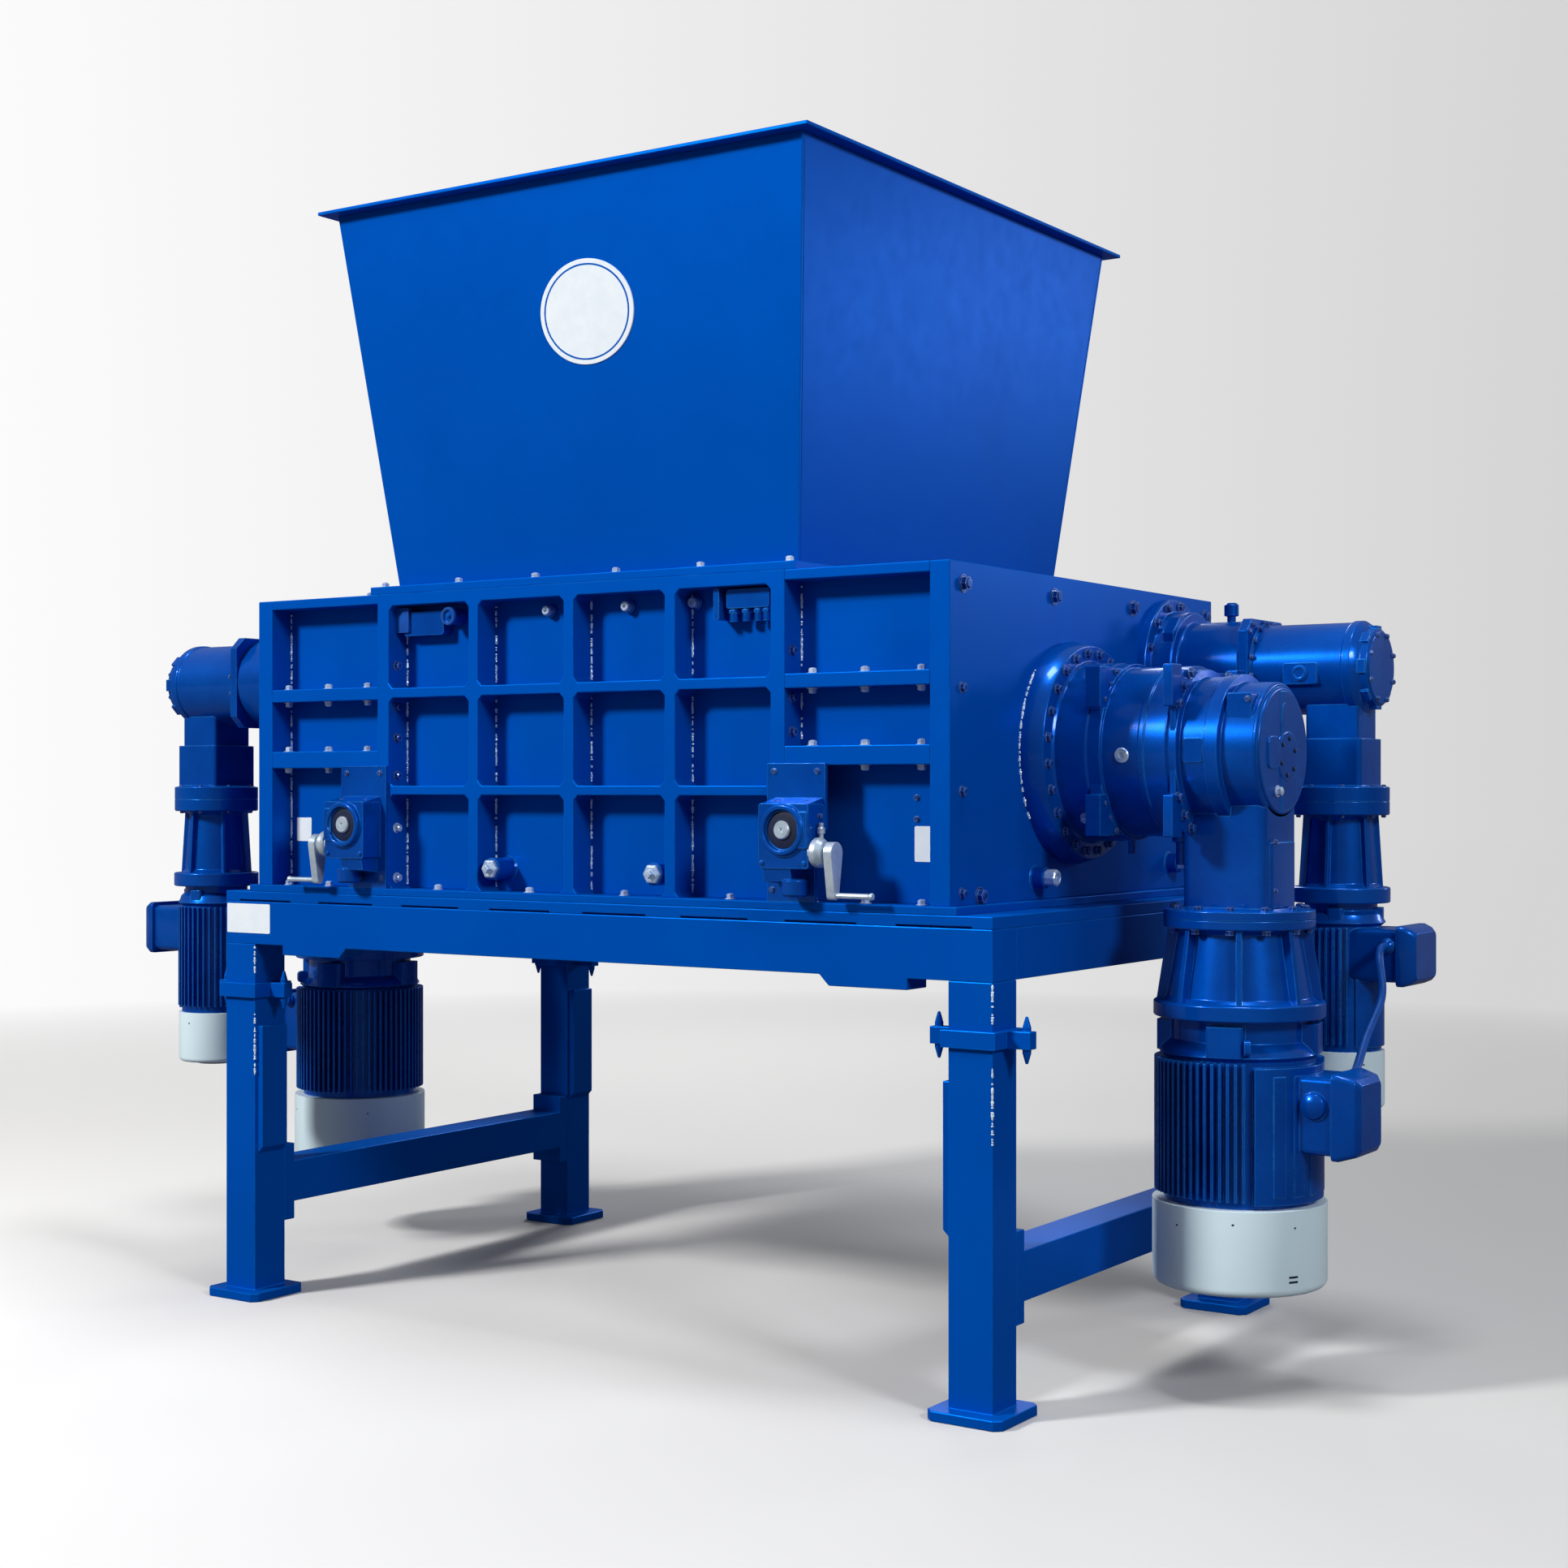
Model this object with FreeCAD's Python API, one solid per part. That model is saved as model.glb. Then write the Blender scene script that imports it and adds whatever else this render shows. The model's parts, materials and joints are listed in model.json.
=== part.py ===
import FreeCAD, Part
import math
import os

from FreeCAD import Vector

# Millimetres. X runs along the machine, Y from front to back, Z up from the floor.
# The origin is on the floor under the middle of the machine.

# Flats round a large casting, a small casting and a small turned part
large_sides = 26
small_sides = 18
trim_sides = 12

# Housing
housing_half_length = 1165.0
housing_half_width = 770.0
housing_height = 828.0
end_plate_thickness = 20.0
panel_thickness = 20.0
panel_recess = 77.0
end_post_width = 35.0
bay_length = 495.0
partition_thickness = 20.0
side_post_width = 42.0
inner_post_width = 33.0
grid_columns = 4
top_rail_height = 33.0
upper_rib_bottom = 536.0
upper_rib_height = 27.0
lower_rib_bottom = 264.0
lower_rib_height = 25.0
cell_corner = 14.0
bay_upper_shelf_bottom = 532.0
bay_upper_shelf_height = 36.0
bay_lower_shelf_bottom = 340.0
bay_lower_shelf_height = 48.0
bay_rail_height = 26.0
cover_thickness = 20.0
base_thickness = 20.0
base_overhang = 25.0
outlet_end_margin = 20.0
outlet_side_margin = 103.0

# Frame
frame_end_margin = 123.0
frame_side_margin = 13.0
leg_width = 120.0
leg_wall = 8.0
leg_height = 1040.0
foot_width = 205.0
foot_thickness = 25.0
foot_corner = 18.0
leg_strip_thickness = 21.0
leg_strip_width = 100.0
leg_strip_bottom = 425.0
leg_strip_gap = 83.0
leg_strip_bevel = 20.0
beam_height = 125.0
beam_wall = 12.0
crossbeam_bottom = 264.0
crossbeam_height = 122.0
crossbeam_wall = 8.0
crossbeam_flange_height = 226.0
crossbeam_flange_thickness = 40.0
bed_thickness = 30.0
bed_slot_height = 5.0
bed_slot_depth = 14.0
bed_slot_length = 210.0
bed_slot_count = 8
hanger_length = 252.0
hanger_drop = 28.0
hanger_depth = 95.0
hanger_gap = 114.0

# Clamp collar round each leg
collar_drop = 157.0
collar_height = 42.0
collar_wall = 14.0
ear_length = 62.0
ear_width = 34.0
ear_bolt_radius = 11.0
ear_bolt_length = 112.0
ear_bolt_point = 26.0

# Hopper
hopper_height = 1045.0
hopper_flange_height = 22.0
hopper_flange_end_width = 40.0
hopper_flange_side_width = 78.0
hopper_foot_end_margin = 10.0
hopper_foot_side_margin = 80.0
hopper_end_flare = 105.0
hopper_side_flare = 140.0
hopper_wall = 10.0
hopper_lip_width = 40.0
hopper_lip_thickness = 10.0

# Cutter shafts
hex_radius = 70.0
cutter_thickness = 60.0
cutter_pitch = 130.0
cutter_twist = 19.0
cutter_start_angle = 12.0
cutter_hooks = 5
hook_height = 34.0
hook_undercut = 0.06
hook_back = 0.72
hook_relief = 5.0
inner_cutter_radius = 185.0
outer_cutter_radius = 190.0
cutter_gap = 5.0
cutter_wall_gap = 13.0
inner_shaft_rise = 375.0
outer_shaft_drop = 223.0

# Large drive, on the inner shafts
large_boss_radius = 290.0
large_boss_length = 28.0
large_flange_radius = 275.0
large_flange_length = 32.0
large_first_radius = 229.0
large_first_length = 95.0
large_first_square = 420.0
large_first_square_length = 35.0
large_second_radius = 215.0
large_second_length = 175.0
large_second_square = 400.0
large_second_square_length = 20.0
large_square_corner = 50.0
large_third_radius = 185.0
large_third_length = 100.0
large_end_radius = 168.0
large_end_length = 102.0
large_motor_offset = 465.0
large_column_length = 220.0
large_column_width = 210.0
large_column_drop = 416.0
large_column_foot_radius = 187.0
large_column_foot_thickness = 22.0
large_lantern_flange_thickness = 23.0
large_lantern_neck_radius = 150.0
large_lantern_skirt_radius = 178.0
large_lantern_height = 243.0
large_lantern_foot_radius = 212.0
large_lantern_foot_thickness = 39.0
large_rib_thickness = 14.0
large_rib_reach = 26.0
large_rib_count = 8
large_shoulder_radius = 168.0
large_shoulder_height = 76.0
large_motor_radius = 210.0
large_fin_depth = 20.0
large_motor_height = 378.0
large_fin_count = 26
large_cowl_radius = 215.0
large_cowl_height = 210.0
large_inlet_radius = 100.0
large_inlet_height = 16.0
large_box_rise = 123.0
large_box_height = 210.0
large_box_width = 190.0
large_box_lid_depth = 68.0
large_box_reach = 340.0

# Small drive, on the outer shafts
small_boss_radius = 208.0
small_boss_length = 25.0
small_flange_radius = 170.0
small_flange_length = 60.0
small_first_radius = 138.0
small_first_length = 180.0
small_square = 276.0
small_square_length = 30.0
small_square_corner = 34.0
small_second_radius = 123.0
small_second_length = 300.0
small_cover_radius = 104.0
small_cover_length = 24.0
small_motor_offset = 505.0
small_column_width = 147.0
small_column_foot_width = 170.0
small_column_step = 190.0
small_column_drop = 358.0
small_column_foot_radius = 128.0
small_column_foot_thickness = 38.0
small_lantern_flange_thickness = 37.0
small_lantern_neck_radius = 84.0
small_lantern_skirt_radius = 96.0
small_lantern_height = 272.0
small_lantern_foot_radius = 130.0
small_lantern_foot_thickness = 42.0
small_rib_thickness = 10.0
small_rib_reach = 16.0
small_rib_count = 6
small_shoulder_radius = 96.0
small_shoulder_height = 40.0
small_motor_radius = 118.0
small_fin_depth = 10.0
small_motor_height = 355.0
small_fin_count = 18
small_cowl_radius = 115.0
small_cowl_height = 155.0
small_inlet_radius = 58.0
small_inlet_height = 8.0
small_box_rise = 180.0
small_box_height = 160.0
small_box_width = 200.0
small_box_lid_depth = 50.0
small_box_reach = 235.0
box_rim = 10.0

# Cable between the two terminal boxes at the right end, and its glands
cable_radius = 11.0
gland_radius = 20.0
gland_length = 20.0
upper_gland_inset = 23.0
upper_gland_rise = 107.0
lower_gland_inset = 30.0
lower_gland_rise = 179.0
cable_sides = 5
arc_share = 0.45
cable_route = [
    (1832, 331, 1082), (1837, 301, 1072), (1846, 273, 1048), (1857, 258, 1013),
    (1865, 245, 975), (1867, 220, 940), (1865, 184, 910), (1863, 144, 878),
    (1863, 105, 843), (1866, 71, 811), (1869, 39, 790), (1872, 6, 779),
]

# Hand crank units at the front, where the side bays begin
crank_bracket_width = 173.0
crank_bracket_thickness = 12.0
crank_bracket_height = 345.0
crank_bracket_overlap = 44.0
worm_box_inset = 21.0
worm_box_width = 148.0
worm_box_depth = 70.0
worm_box_rise = 85.0
worm_box_height = 160.0
worm_bore_rise = 95.0
worm_bore_radius = 52.0
worm_ring_radius = 64.0
worm_ring_length = 13.0
worm_shaft_radius = 23.0
crank_axis_rise = 125.0
crank_axis_reach = 55.0
crank_hub_radius = 36.0
crank_hub_length = 34.0
crank_pin_radius = 12.0
crank_pin_clearance = 0.3
crank_pin_depth = 22.0
crank_gap = 8.0
crank_boss_radius = 27.0
crank_arm_width = 22.0
crank_arm_thickness = 24.0
crank_throw = 104.0
crank_grip_radius = 7.0
crank_grip_length = 96.0
crank_knob_radius = 9.0
crank_knob_length = 8.0

# Levels and edges that follow from the sizes above
frame_half_length = housing_half_length + frame_end_margin
frame_half_width = housing_half_width + frame_side_margin
leg_centre_x = frame_half_length - leg_width / 2
leg_centre_y = frame_half_width - leg_width / 2
beam_top = leg_height + beam_height
bed_top = beam_top + bed_thickness
housing_bottom = bed_top + base_thickness
housing_top = housing_bottom + housing_height
end_inner = housing_half_length - end_plate_thickness
panel_front = housing_half_width - panel_recess
panel_back = panel_front - panel_thickness
partition_centre = housing_half_length - bay_length
chamber_half_length = partition_centre - partition_thickness / 2
hopper_foot = housing_top + hopper_flange_height
hopper_top = hopper_foot + hopper_height
hopper_foot_x = partition_centre + hopper_foot_end_margin
hopper_foot_y = housing_half_width - hopper_foot_side_margin
hopper_mouth_x = hopper_foot_x + hopper_end_flare
hopper_mouth_y = hopper_foot_y + hopper_side_flare
inner_shaft_y = (inner_cutter_radius + hex_radius + cutter_gap) / 2
outer_shaft_y = panel_back - outer_cutter_radius - cutter_wall_gap
inner_shaft_z = housing_bottom + inner_shaft_rise
outer_shaft_z = housing_top - outer_shaft_drop
large_motor_x = housing_half_length + large_motor_offset
large_lantern_top = inner_shaft_z - large_column_drop
large_motor_top = large_lantern_top - large_lantern_height - large_shoulder_height
large_motor_bottom = large_motor_top - large_motor_height
small_motor_x = housing_half_length + small_motor_offset
small_lantern_top = outer_shaft_z - small_column_drop
small_motor_top = small_lantern_top - small_lantern_height - small_shoulder_height
small_motor_bottom = small_motor_top - small_motor_height
bracket_inner = partition_centre + side_post_width / 2 - crank_bracket_overlap
bracket_front = housing_half_width + crank_bracket_thickness
worm_box_end = bracket_inner + worm_box_inset + worm_box_width
worm_box_front = bracket_front + worm_box_depth
crank_axis_y = -housing_half_width - crank_axis_reach
crank_axis_z = housing_bottom + crank_axis_rise
crank_hub_end = worm_box_end + crank_hub_length

along_x = Vector(1, 0, 0)
along_y = Vector(0, 1, 0)
up = Vector(0, 0, 1)
down = Vector(0, 0, -1)

pieces = {}


def block(x0, x1, y0, y1, z0, z1):
    low = Vector(min(x0, x1), min(y0, y1), min(z0, z1))
    return Part.makeBox(abs(x1 - x0), abs(y1 - y0), abs(z1 - z0), low)


def rod(radius, length, start, direction):
    return Part.makeCylinder(radius, length, start, direction)


def joined(shapes):
    return shapes[0].multiFuse(shapes[1:]).removeSplitter()


def turned(shape, degrees, centre=Vector(0, 0, 0), axis=up):
    copy = shape.copy()
    copy.rotate(centre, axis, degrees)
    return copy


def flipped(shape):
    return shape.mirror(Vector(0, 0, 0), along_x)


def prism(points, depth):
    outline = Part.makePolygon(points + [points[0]])
    return Part.Face(outline).extrude(depth)


def clipped(u0, u1, v0, v1, corner):
    return [
        (u0, v0 + corner), (u0 + corner, v0), (u1 - corner, v0), (u1, v0 + corner),
        (u1, v1 - corner), (u1 - corner, v1), (u0 + corner, v1), (u0, v1 - corner),
    ]


def ring_points(radius, centre, direction, sides):
    across = along_y if direction.x else along_x
    other = direction.cross(across)
    points = []
    for index in range(sides):
        angle = 2 * math.pi * (index + 0.5) / sides
        points.append(centre + across * (radius * math.cos(angle)) + other * (radius * math.sin(angle)))
    return points


def skinned(rings):
    faces = [Part.Face(Part.makePolygon(end + [end[0]])) for end in (rings[0], rings[-1])]
    for low, high in zip(rings, rings[1:]):
        for index, corner in enumerate(low):
            after = (index + 1) % len(low)
            faces.append(Part.Face(Part.makePolygon([corner, low[after], high[after], high[index], corner])))
    shell = Part.makeShell(faces)
    shell.sewShape()
    solid = Part.makeSolid(shell)
    if solid.Volume < 0:
        solid.reverse()
    return solid.removeSplitter()


def lathed(profile, start, direction, sides):
    return skinned([ring_points(radius, start + direction * along, direction, sides) for along, radius in profile])


def stepped(steps):
    profile = []
    along = 0
    for radius, length in steps:
        profile.append((along, radius))
        along += length
        profile.append((along, radius))
    return profile


def disc(radius, length, start, direction, sides):
    return prism(ring_points(radius, start, direction, sides), direction * length)


def keep(name, *solids):
    pieces[name] = solids[0] if len(solids) == 1 else Part.makeCompound(list(solids))


def leg(side_x, side_y):
    x = side_x * leg_centre_x
    y = side_y * leg_centre_y
    half = leg_width / 2
    bore = half - leg_wall
    pad = foot_width / 2
    outline = clipped(x - pad, x + pad, y - pad, y + pad, foot_corner)
    face = x - side_x * half
    proud = face - side_x * leg_strip_thickness
    top = leg_height - collar_drop - leg_strip_gap
    strip = [
        Vector(face, y - leg_strip_width / 2, leg_strip_bottom),
        Vector(proud, y - leg_strip_width / 2, leg_strip_bottom + leg_strip_bevel),
        Vector(proud, y - leg_strip_width / 2, top),
        Vector(face, y - leg_strip_width / 2, top),
    ]
    body = joined([
        block(x - half, x + half, y - half, y + half, 0, leg_height),
        prism([Vector(u, v, 0) for u, v in outline], up * foot_thickness),
        prism(strip, along_y * leg_strip_width),
    ])
    return body.cut(block(x - bore, x + bore, y - bore, y + bore, foot_thickness, leg_height))


def pointed_bolt(x, y, middle):
    end = ear_bolt_length / 2
    point = ear_bolt_radius / 3
    profile = [
        (-end, point), (ear_bolt_point - end, ear_bolt_radius),
        (end - ear_bolt_point, ear_bolt_radius), (end, point),
    ]
    return lathed(profile, Vector(x, y, middle), up, 6)


def collar(side_x, side_y):
    x = side_x * leg_centre_x
    y = side_y * leg_centre_y
    half = leg_width / 2
    ring = half + collar_wall
    bottom = leg_height - collar_drop
    top = bottom + collar_height
    parts = [block(x - ring, x + ring, y - ring, y + ring, bottom, top)]
    for side in (-1, 1):
        ear_end = x + side * (ring + ear_length)
        parts.append(block(x + side * half, ear_end, y - ear_width / 2, y + ear_width / 2, bottom, top))
        parts.append(pointed_bolt(ear_end - side * ear_width / 2, y, (bottom + top) / 2))
    hole = block(x - half, x + half, y - half, y + half, bottom - 1, top + 1)
    return joined(parts).cut(hole)


def front_channel():
    z0 = leg_height
    x = frame_half_length
    y0 = -frame_half_width
    y1 = y0 + leg_width
    t = beam_wall
    parts = [
        block(-x, x, y0, y1, z0, beam_top).cut(block(t - x, x - t, y0 + t, y1 + 1, z0 + t, beam_top - t)),
    ]
    for side in (-1, 1):
        near_leg = side * (leg_centre_x - leg_width / 2 - hanger_gap)
        far_end = near_leg - side * hanger_length
        corners = [
            Vector(near_leg, y0, z0),
            Vector(near_leg, y0, z0 - hanger_drop),
            Vector(far_end + side * hanger_drop, y0, z0 - hanger_drop),
            Vector(far_end, y0, z0),
        ]
        parts.append(prism(corners, along_y * hanger_depth))
    return joined(parts)


def side_beam():
    x1 = frame_half_length
    x0 = x1 - leg_width
    y = frame_half_width - leg_width
    t = beam_wall
    outer = block(x0, x1, -y, y, leg_height, beam_top)
    return outer.cut(block(x0 + t, x1 - t, -y - 1, y + 1, leg_height + t, beam_top - t))


def crossbeam():
    x0 = leg_centre_x - leg_width / 2
    x1 = leg_centre_x + leg_width / 2
    y = leg_centre_y - leg_width / 2
    z0 = crossbeam_bottom
    z1 = z0 + crossbeam_height
    t = crossbeam_wall
    parts = [block(x0, x1, -y, y, z0, z1).cut(block(x0 + t, x1 - t, -y, y, z0 + t, z1 - t))]
    middle = (z0 + z1) / 2
    tall = crossbeam_flange_height / 2
    for end in (-1, 1):
        inner = end * (y - crossbeam_flange_thickness)
        parts.append(block(x0, x1, end * y, inner, middle - tall, middle + tall))
    return joined(parts)


def outlet(z0, z1):
    x = partition_centre - outlet_end_margin
    y = panel_front - outlet_side_margin
    return block(-x, x, -y, y, z0, z1)


def bed():
    x = frame_half_length
    y = frame_half_width
    plate = block(-x, x, -y, y, beam_top, bed_top).cut(outlet(beam_top - 1, bed_top + 1))
    step = 2 * x / bed_slot_count
    slots = []
    for index in range(bed_slot_count):
        middle = -x + step * (index + 0.5)
        for side in (-1, 1):
            slots.append(block(
                middle - bed_slot_length / 2, middle + bed_slot_length / 2,
                side * (y - bed_slot_depth), side * (y + 1),
                beam_top - 1, beam_top + bed_slot_height,
            ))
    return plate.cut(Part.makeCompound(slots))


def housing_base():
    x = housing_half_length + base_overhang
    plate = block(-x, x, -frame_half_width, frame_half_width, bed_top, housing_bottom)
    return plate.cut(outlet(bed_top - 1, housing_bottom + 1))


def panel():
    return block(-end_inner, end_inner, -panel_front, -panel_back, housing_bottom, housing_top)


def rib_grid():
    inner = partition_centre - side_post_width / 2
    outer = partition_centre + side_post_width / 2
    plate = block(-outer, outer, -housing_half_width, -panel_front, housing_bottom, housing_top)
    post_step = 2 * partition_centre / grid_columns
    rails = (
        (0, lower_rib_bottom),
        (lower_rib_bottom + lower_rib_height, upper_rib_bottom),
        (upper_rib_bottom + upper_rib_height, housing_height - top_rail_height),
    )
    cells = []
    for column in range(grid_columns):
        left = -partition_centre + column * post_step
        x0 = max(left + inner_post_width / 2, -inner)
        x1 = min(left + post_step - inner_post_width / 2, inner)
        for low, high in rails:
            outline = clipped(x0, x1, housing_bottom + low, housing_bottom + high, cell_corner)
            points = [Vector(u, -housing_half_width - 1, v) for u, v in outline]
            cells.append(prism(points, along_y * (panel_recess + 2)))
    return plate.cut(Part.makeCompound(cells))


def bay_shelves():
    x0 = partition_centre + side_post_width / 2
    x1 = end_inner - end_post_width
    shelves = []
    for low, high in (
        (bay_lower_shelf_bottom, bay_lower_shelf_bottom + bay_lower_shelf_height),
        (bay_upper_shelf_bottom, bay_upper_shelf_bottom + bay_upper_shelf_height),
        (housing_height - bay_rail_height, housing_height),
    ):
        for end in (-1, 1):
            for side in (-1, 1):
                shelves.append(block(
                    end * x0, end * x1, side * panel_front, side * housing_half_width,
                    housing_bottom + low, housing_bottom + high,
                ))
    return shelves


def end_plate():
    y = housing_half_width
    parts = [block(end_inner, housing_half_length, -y, y, housing_bottom, housing_top)]
    for side in (-1, 1):
        parts.append(block(
            end_inner - end_post_width, end_inner, side * panel_front, side * y,
            housing_bottom, housing_top,
        ))
    return joined(parts)


def partition():
    x0 = partition_centre - partition_thickness / 2
    x1 = partition_centre + partition_thickness / 2
    return block(x0, x1, -panel_back, panel_back, housing_bottom, housing_top)


def bay_cover():
    x0 = partition_centre + partition_thickness / 2
    return block(x0, end_inner, -panel_back, panel_back, housing_top - cover_thickness, housing_top)


def cutter(x, y, z, radius, start_angle):
    root = radius - hook_height
    step = 360.0 / cutter_hooks
    points = []
    for hook in range(cutter_hooks):
        tip = start_angle + hook * step
        for share, height in ((0, radius), (hook_undercut, root), (hook_back, radius - hook_relief)):
            angle = math.radians(tip + share * step)
            points.append(Vector(x, y + height * math.cos(angle), z + height * math.sin(angle)))
    return prism(points, along_x * cutter_thickness)


def rotor(y, z, radius, start_angle, fewer, direction):
    reach = chamber_half_length
    count = int((2 * reach - cutter_thickness) / cutter_pitch) + 1 - fewer
    first = -cutter_pitch * (count - 1) / 2 - cutter_thickness / 2
    parts = [disc(hex_radius, 2 * reach, Vector(-reach, y, z), along_x, 6)]
    for index in range(count):
        x = first + cutter_pitch * index
        blade = cutter(x, y, z, radius, start_angle + cutter_twist * index)
        if direction < 0:
            blade = blade.mirror(Vector(x, y, z), along_y)
        parts.append(blade)
    return joined(parts)


def tapered_block(foot_x, foot_y, mouth_x, mouth_y):
    rings = []
    for half_x, half_y, z in ((foot_x, foot_y, hopper_foot), (mouth_x, mouth_y, hopper_top)):
        rings.append([Vector(sx * half_x, sy * half_y, z) for sx, sy in ((-1, -1), (1, -1), (1, 1), (-1, 1))])
    return skinned(rings)


def hopper_walls():
    t = hopper_wall
    outer = tapered_block(hopper_foot_x, hopper_foot_y, hopper_mouth_x, hopper_mouth_y)
    inner = tapered_block(hopper_foot_x - t, hopper_foot_y - t, hopper_mouth_x - t, hopper_mouth_y - t)
    across = tapered_block(hopper_foot_x + t, hopper_foot_y - t, hopper_mouth_x + t, hopper_mouth_y - t)
    shell = outer.cut(inner)
    sides = sorted(shell.common(across).Solids, key=lambda solid: solid.CenterOfMass.x)
    faces = sorted(shell.cut(across).Solids, key=lambda solid: solid.CenterOfMass.y)
    return faces[0], faces[1], sides[0], sides[1]


def hopper_ring(half_x, half_y, inner_x, inner_y, z0, z1):
    outer = block(-half_x, half_x, -half_y, half_y, z0, z1)
    return outer.cut(block(-inner_x, inner_x, -inner_y, inner_y, z0 - 1, z1 + 1))


def square_flange(x0, length, y, z, width, corner):
    outline = clipped(y - width / 2, y + width / 2, z - width / 2, z + width / 2, corner)
    return prism([Vector(x0, u, v) for u, v in outline], along_x * length)


def large_gearbox():
    x = housing_half_length
    y = -inner_shaft_y
    z = inner_shaft_z
    first_square = large_boss_length + large_flange_length + large_first_length
    second_square = first_square + large_first_square_length + large_second_length
    steps = (
        (large_boss_radius, large_boss_length), (large_flange_radius, large_flange_length),
        (large_first_radius, large_first_length + large_first_square_length),
        (large_second_radius, large_second_length),
        (large_third_radius, large_second_square_length + large_third_length),
        (large_end_radius, large_end_length),
    )
    foot_top = large_lantern_top + large_column_foot_thickness
    half_x = large_column_length / 2
    half_y = large_column_width / 2
    return joined([
        lathed(stepped(steps), Vector(x, y, z), along_x, large_sides),
        square_flange(x + first_square, large_first_square_length, y, z, large_first_square, large_square_corner),
        square_flange(x + second_square, large_second_square_length, y, z, large_second_square, large_square_corner),
        block(large_motor_x - half_x, large_motor_x + half_x, y - half_y, y + half_y, foot_top, z),
        disc(
            large_column_foot_radius, large_column_foot_thickness,
            Vector(large_motor_x, y, large_lantern_top), up, large_sides,
        ),
    ])


def small_gearbox():
    x = housing_half_length
    y = outer_shaft_y
    z = outer_shaft_z
    square = small_boss_length + small_flange_length + small_first_length
    steps = (
        (small_boss_radius, small_boss_length), (small_flange_radius, small_flange_length),
        (small_first_radius, small_first_length),
        (small_second_radius, small_square_length + small_second_length),
        (small_cover_radius, small_cover_length),
    )
    step = z - small_column_step
    foot_top = small_lantern_top + small_column_foot_thickness
    parts = [
        lathed(stepped(steps), Vector(x, y, z), along_x, small_sides),
        square_flange(x + square, small_square_length, y, z, small_square, small_square_corner),
        disc(
            small_column_foot_radius, small_column_foot_thickness,
            Vector(small_motor_x, y, small_lantern_top), up, small_sides,
        ),
    ]
    for half, low, high in ((small_column_width / 2, step, z), (small_column_foot_width / 2, foot_top, step)):
        parts.append(block(small_motor_x - half, small_motor_x + half, y - half, y + half, low, high))
    return joined(parts)


def lantern(x, y, top, sides, head, neck, skirt, height, foot, rib):
    head_radius, head_height = head
    foot_radius, foot_height = foot
    rib_thickness, rib_reach, rib_count = rib
    body_height = height - head_height - foot_height
    profile = [
        (0, foot_radius), (foot_height, foot_radius), (foot_height, skirt),
        (foot_height + body_height, neck), (foot_height + body_height, head_radius), (height, head_radius),
    ]
    parts = [lathed(profile, Vector(x, y, top - height), up, sides)]
    z0 = top - height + foot_height
    z1 = z0 + body_height
    for index in range(rib_count):
        web = prism([
            Vector(x + neck / 2, y - rib_thickness / 2, z0),
            Vector(x + skirt + rib_reach, y - rib_thickness / 2, z0),
            Vector(x + neck + rib_reach, y - rib_thickness / 2, z1),
            Vector(x + neck / 2, y - rib_thickness / 2, z1),
        ], along_y * rib_thickness)
        parts.append(turned(web, 360.0 / rib_count * (index + 0.5), Vector(x, y, 0)))
    return joined(parts)


def finned_body(x, y, z0, height, radius, fin_depth, fins):
    step = 2 * math.pi / fins
    core = radius - fin_depth
    points = []
    for index in range(fins):
        for share, reach in ((-0.30, core), (-0.18, radius), (0.18, radius), (0.30, core)):
            angle = (index + share) * step
            points.append(Vector(x + reach * math.cos(angle), y + reach * math.sin(angle), z0))
    return prism(points, up * height)


def terminal_box(x, y, reach, lid_depth, width, bottom, height):
    base_half = width / 2 - box_rim
    lid_half = width / 2
    lid_start = x + reach - lid_depth
    base = block(x, lid_start, y - base_half, y + base_half, bottom + box_rim, bottom + height - box_rim)
    lid = block(lid_start, x + reach, y - lid_half, y + lid_half, bottom, bottom + height)
    edges = [edge for edge in lid.Edges if abs(edge.CenterOfMass.x - (x + reach)) < 0.01]
    return [base, lid.makeChamfer(box_rim, edges)]


def motor(x, y, top, sides, shoulder_radius, shoulder, radius, fin_depth, height, fins, extras):
    bottom = top - height
    parts = [
        disc(shoulder_radius, shoulder, Vector(x, y, top), up, sides),
        finned_body(x, y, bottom, height, radius, fin_depth, fins),
    ]
    return joined(parts + extras)


def fan_cowl(x, y, top, sides, radius, height, inlet_radius, inlet_height):
    profile = [
        (0, radius), (height - inlet_height, radius), (height, radius - inlet_height),
    ]
    parts = [
        lathed(profile, Vector(x, y, top), down, sides),
        disc(inlet_radius, inlet_height, Vector(x, y, top - height), down, sides),
    ]
    return joined(parts)


def gland(place, direction):
    return disc(gland_radius, gland_length, place, direction, trim_sides)


def lower_gland_place():
    x = large_motor_x + large_box_reach - large_box_lid_depth - lower_gland_inset
    y = -inner_shaft_y + large_box_width / 2 - box_rim
    return Vector(x, y, large_motor_bottom + large_box_rise + lower_gland_rise)


def upper_gland_place():
    x = small_motor_x + small_box_reach - small_box_lid_depth - upper_gland_inset
    y = outer_shaft_y - small_box_width / 2 + box_rim
    return Vector(x, y, small_motor_bottom + small_box_rise + upper_gland_rise)


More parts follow.
